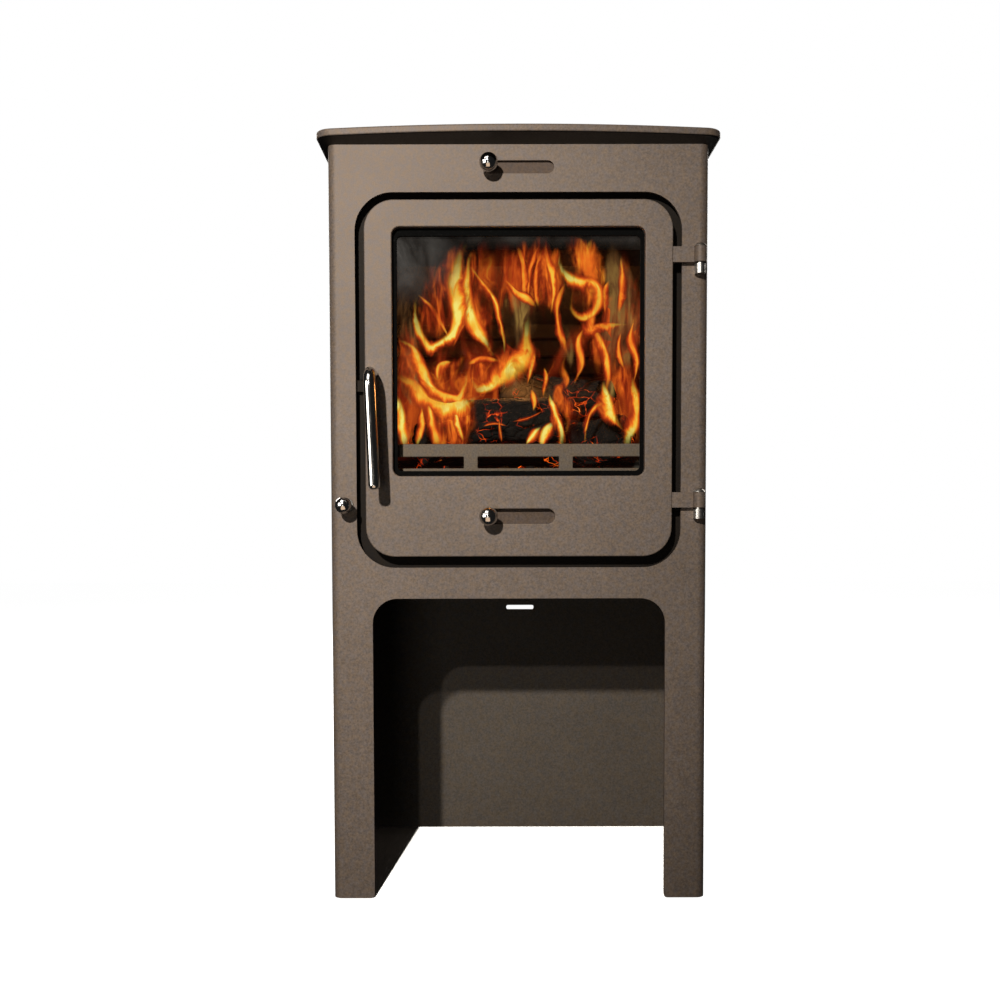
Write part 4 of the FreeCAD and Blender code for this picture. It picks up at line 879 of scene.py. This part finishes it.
def make_fire():
    """The embers, the logs and the flames; gives the middle of the fire."""
    grate_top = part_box("riddling_grate")[1].z
    inner_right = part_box("right_firebrick")[0].x
    inner_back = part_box("rear_firebrick")[0].y
    baffle_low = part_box("baffle_plate")[0].z
    front = GUARD_HIGH.y

    embers_low = Vector((-inner_right + EMBER_SIDE_GAP, front + EMBER_FRONT_GAP, grate_top + 0.6 * MM))
    ember_top = grate_top + EMBER_HEIGHT
    embers_high = Vector((inner_right - EMBER_SIDE_GAP, inner_back - EMBER_BACK_GAP, ember_top))
    make_embers(charred_wood("live_embers", 2.2), embers_low, embers_high)

    char = charred_wood("charred_log", 1.3)
    for count, (name, start, end, radius) in enumerate(LOGS):
        ends = [Vector((x * MM, front + y * MM, grate_top + z * MM)) for x, y, z in (start, end)]
        make_log(name, *ends, radius * MM, count * 1.7 + 0.4, char)

    tongues = flame_tongues("flame_tongues")
    make_flames("flames_near", NEAR_DEPTH, NEAR_THREADS, NEAR_VEILS, NEAR_SMOKE, tongues)
    make_flames("flames_middle", MIDDLE_DEPTH, MIDDLE_THREADS, MIDDLE_VEILS, MIDDLE_SMOKE, tongues)
    make_flames("flames_far", FAR_DEPTH, FAR_THREADS, FAR_VEILS, FAR_SMOKE, tongues)

    curtains = (("flame_curtain", 62 * MM, GLASS_HIGH.z - CURTAIN_TOP_GAP, 1.0),
                ("flame_curtain_rear", 190 * MM, baffle_low - CURTAIN_TOP_GAP, 4.0))
    for name, back, top, seed in curtains:
        low = Vector((-inner_right + CURTAIN_SIDE_GAP, 0, ember_top))
        high = Vector((inner_right - CURTAIN_SIDE_GAP, 0, top))
        finish = flame_curtain(name + "_fire", low, high, (seed, 0, seed * 0.3))
        make_curtain(name, front + back, low, high, seed, finish)
    return Vector((0, front + 70 * MM, (grate_top + baffle_low) / 2))


# ---------------------------------------------------------------- studio

def linked_set(name, pieces, state="INCLUDE"):
    """A collection for light linking, which takes these pieces or CAD nodes in or leaves them out."""
    chosen = bpy.data.collections.new(name)
    for made in pieces:
        chosen.objects.link(frame["nodes"][made] if isinstance(made, str) else made)
    for entry in chosen.collection_objects:
        entry.light_linking.link_state = state
    return chosen


WARM = (1.0, 0.95, 0.88)
DEEP_WARM = (1.0, 0.72, 0.5)
FIRE_WARM = (1.0, 0.42, 0.12)
POLISHED = ("door_handle", "upper_slider_knob", "lower_slider_knob", "riddling_knob", "hinge_pins",
            "upper_hinge_bracket", "lower_hinge_bracket")
INSIDE = ("rear_panel", "baffle_plate", "rear_blanking_plate", "blanking_clamp_bar", "blanking_bolt")


def lamp(name, kind, place, target, energy, colour, **settings):
    """A lamp of some kind, which shines from its place to its target."""
    data = bpy.data.lights.new(name, kind)
    data.energy = energy
    data.color = colour
    for key, setting in settings.items():
        setattr(data, key, setting)
    made = bpy.data.objects.new(name, data)
    made.location = place
    made.rotation_euler = (Vector(target) - Vector(place)).to_track_quat("-Z", "Y").to_euler()
    bpy.context.scene.collection.objects.link(made)
    return made


FLOOR_REACH = 6.0
FLOOR_GLOW = 0.985
ROOM_LIGHT = 0.015


def make_floor(name, low, high, glow_strength):
    """A level piece of the pale floor, between two corners, as high as the first."""
    floor = Finish(name + "_pale")
    speck = floor.noise(floor.place(), 3, 3)
    base = floor.mix(speck, grey(0.78), grey(0.82))
    glow = floor.mix(speck, grey(0.995), grey(1.0))
    pale = floor.surface({"Base Color": base, "Roughness": 0.9, "Specular IOR Level": 0.0,
                          "Emission Color": glow, "Emission Strength": glow_strength})
    mesh_maker = bmesh.new()
    corners = ((low.x, low.y), (high.x, low.y), (high.x, high.y), (low.x, high.y))
    mesh_maker.faces.new([mesh_maker.verts.new((x, y, low.z)) for x, y in corners])
    mesh = bpy.data.meshes.new(name)
    mesh_maker.to_mesh(mesh)
    mesh_maker.free()
    mesh.materials.append(pale)
    ground = bpy.data.objects.new(name, mesh)
    ground.visible_diffuse = False
    ground.visible_glossy = False
    bpy.context.scene.collection.objects.link(ground)
    return ground


def make_world():
    """A white room that the camera sees, and that lights the stove only faintly."""
    world = bpy.data.worlds.new("studio")
    world.use_nodes = True
    tree = world.node_tree
    background = tree.nodes["Background"]
    path = tree.nodes.new("ShaderNodeLightPath")
    level = tree.nodes.new("ShaderNodeMapRange")
    level.inputs["To Min"].default_value = ROOM_LIGHT
    level.inputs["To Max"].default_value = 1.0
    tree.links.new(path.outputs["Is Camera Ray"], level.inputs["Value"])
    tree.links.new(level.outputs["Result"], background.inputs["Strength"])
    background.inputs["Color"].default_value = grey(1.0)
    bpy.context.scene.world = world


def make_studio(fire_heart):
    """The floor, the room and the lamps; a linked lamp lights or spares only the pieces in its set."""
    reach = Vector((FLOOR_REACH, FLOOR_REACH, 0))
    make_floor("floor", -reach, reach, FLOOR_GLOW)
    front_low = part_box("front_panel")[0]
    back_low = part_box("log_store_back")[0]
    store_low = Vector((front_low.x + 4 * MM, front_low.y + 1 * MM, 0.2 * MM))
    store_floor = make_floor("floor_in_store", store_low, Vector((-store_low.x, back_low.y, 0)), 0.0)
    make_world()

    key = lamp("key", "SPOT", (-0.6, -2.35, 1.40), (-0.35, -0.13, 0.63), 162, WARM,
               spot_size=math.radians(44), spot_blend=1.0, shadow_soft_size=0.035)
    links = key.light_linking
    links.receiver_collection = linked_set("key_misses_inside", INSIDE, "EXCLUDE")
    links.blocker_collection = linked_set("plate_casts_no_shadow", ["top_plate"], "EXCLUDE")
    for name, place in (("key_right", (-0.37, -2.35, 1.40)), ("key_low", (-0.6, -2.35, 1.15))):
        side = lamp(name, "SPOT", place, (-0.1, 0.17, 0.15), 26, WARM,
                    spot_size=math.radians(30), spot_blend=1.0, shadow_soft_size=0.02)
        side.light_linking.receiver_collection = linked_set(name + "_reaches", ["log_store_back"])
    store_key = lamp("store_floor_key", "SPOT", (-0.37, -2.35, 1.40), (0, 0, 0), 1000, WARM,
                     spot_size=math.radians(30), spot_blend=0.5, shadow_soft_size=0.012)
    store_key.light_linking.receiver_collection = linked_set("store_floor_key_reaches", [store_floor])
    low_fill = lamp("low_fill", "AREA", (-0.35, -2.3, 0.12), (0, 0, 0.05), 2.4, WARM, size=0.5)
    links = low_fill.light_linking
    links.receiver_collection = linked_set("plate_underside_dark", ["top_plate"], "EXCLUDE")

    mirrored = (
        lamp("left_panel", "AREA", (-1.5, -1.25, 0.75), (-0.15, -0.15, 0.5), 26, WARM, size=1.1),
        lamp("top_panel", "AREA", (-0.6, -1.0, 1.8), (-0.1, -0.15, 0.5), 12, WARM, size=0.9),
        lamp("floor_glow", "AREA", (-0.2, -1.1, -0.4), (-0.1, -0.15, 0.5), 5, DEEP_WARM, size=1.2),
    )
    for panel in mirrored:
        panel.light_linking.receiver_collection = linked_set(panel.name + "_reaches", POLISHED)
    lamp("rear_left", "AREA", (-1.1, 2.3, 1.5), (0, 0.1, 0.45), 40, WARM, size=1.2)
    lamp("rear_right", "AREA", (1.2, 2.2, 1.2), (0, 0.1, 0.45), 30, WARM, size=1.2)
    behind = fire_heart + Vector((0, 1, 0))
    lamp("fire_light", "POINT", fire_heart, behind, 0.5, FIRE_WARM, shadow_soft_size=0.03)


LOOK_DOWN = 0.0513
ROLL = 0.0023
TURN = -0.001


def make_camera():
    """The camera at the photo's angle, in front of the stove and a little to the left."""
    data = bpy.data.cameras.new("camera")
    data.lens = 43.2
    data.sensor_width = 36
    data.shift_y = 0.0766
    camera = bpy.data.objects.new("camera", data)
    camera.location = VIEWER
    camera.rotation_euler = (math.pi / 2 - LOOK_DOWN, ROLL, TURN)
    bpy.context.scene.collection.objects.link(camera)
    bpy.context.scene.camera = camera


finishes = finish_cad_nodes()
make_rope_seal(finishes["fibre_rope"])
make_studio(make_fire())
make_camera()
bpy.context.scene.view_settings.view_transform = "Standard"
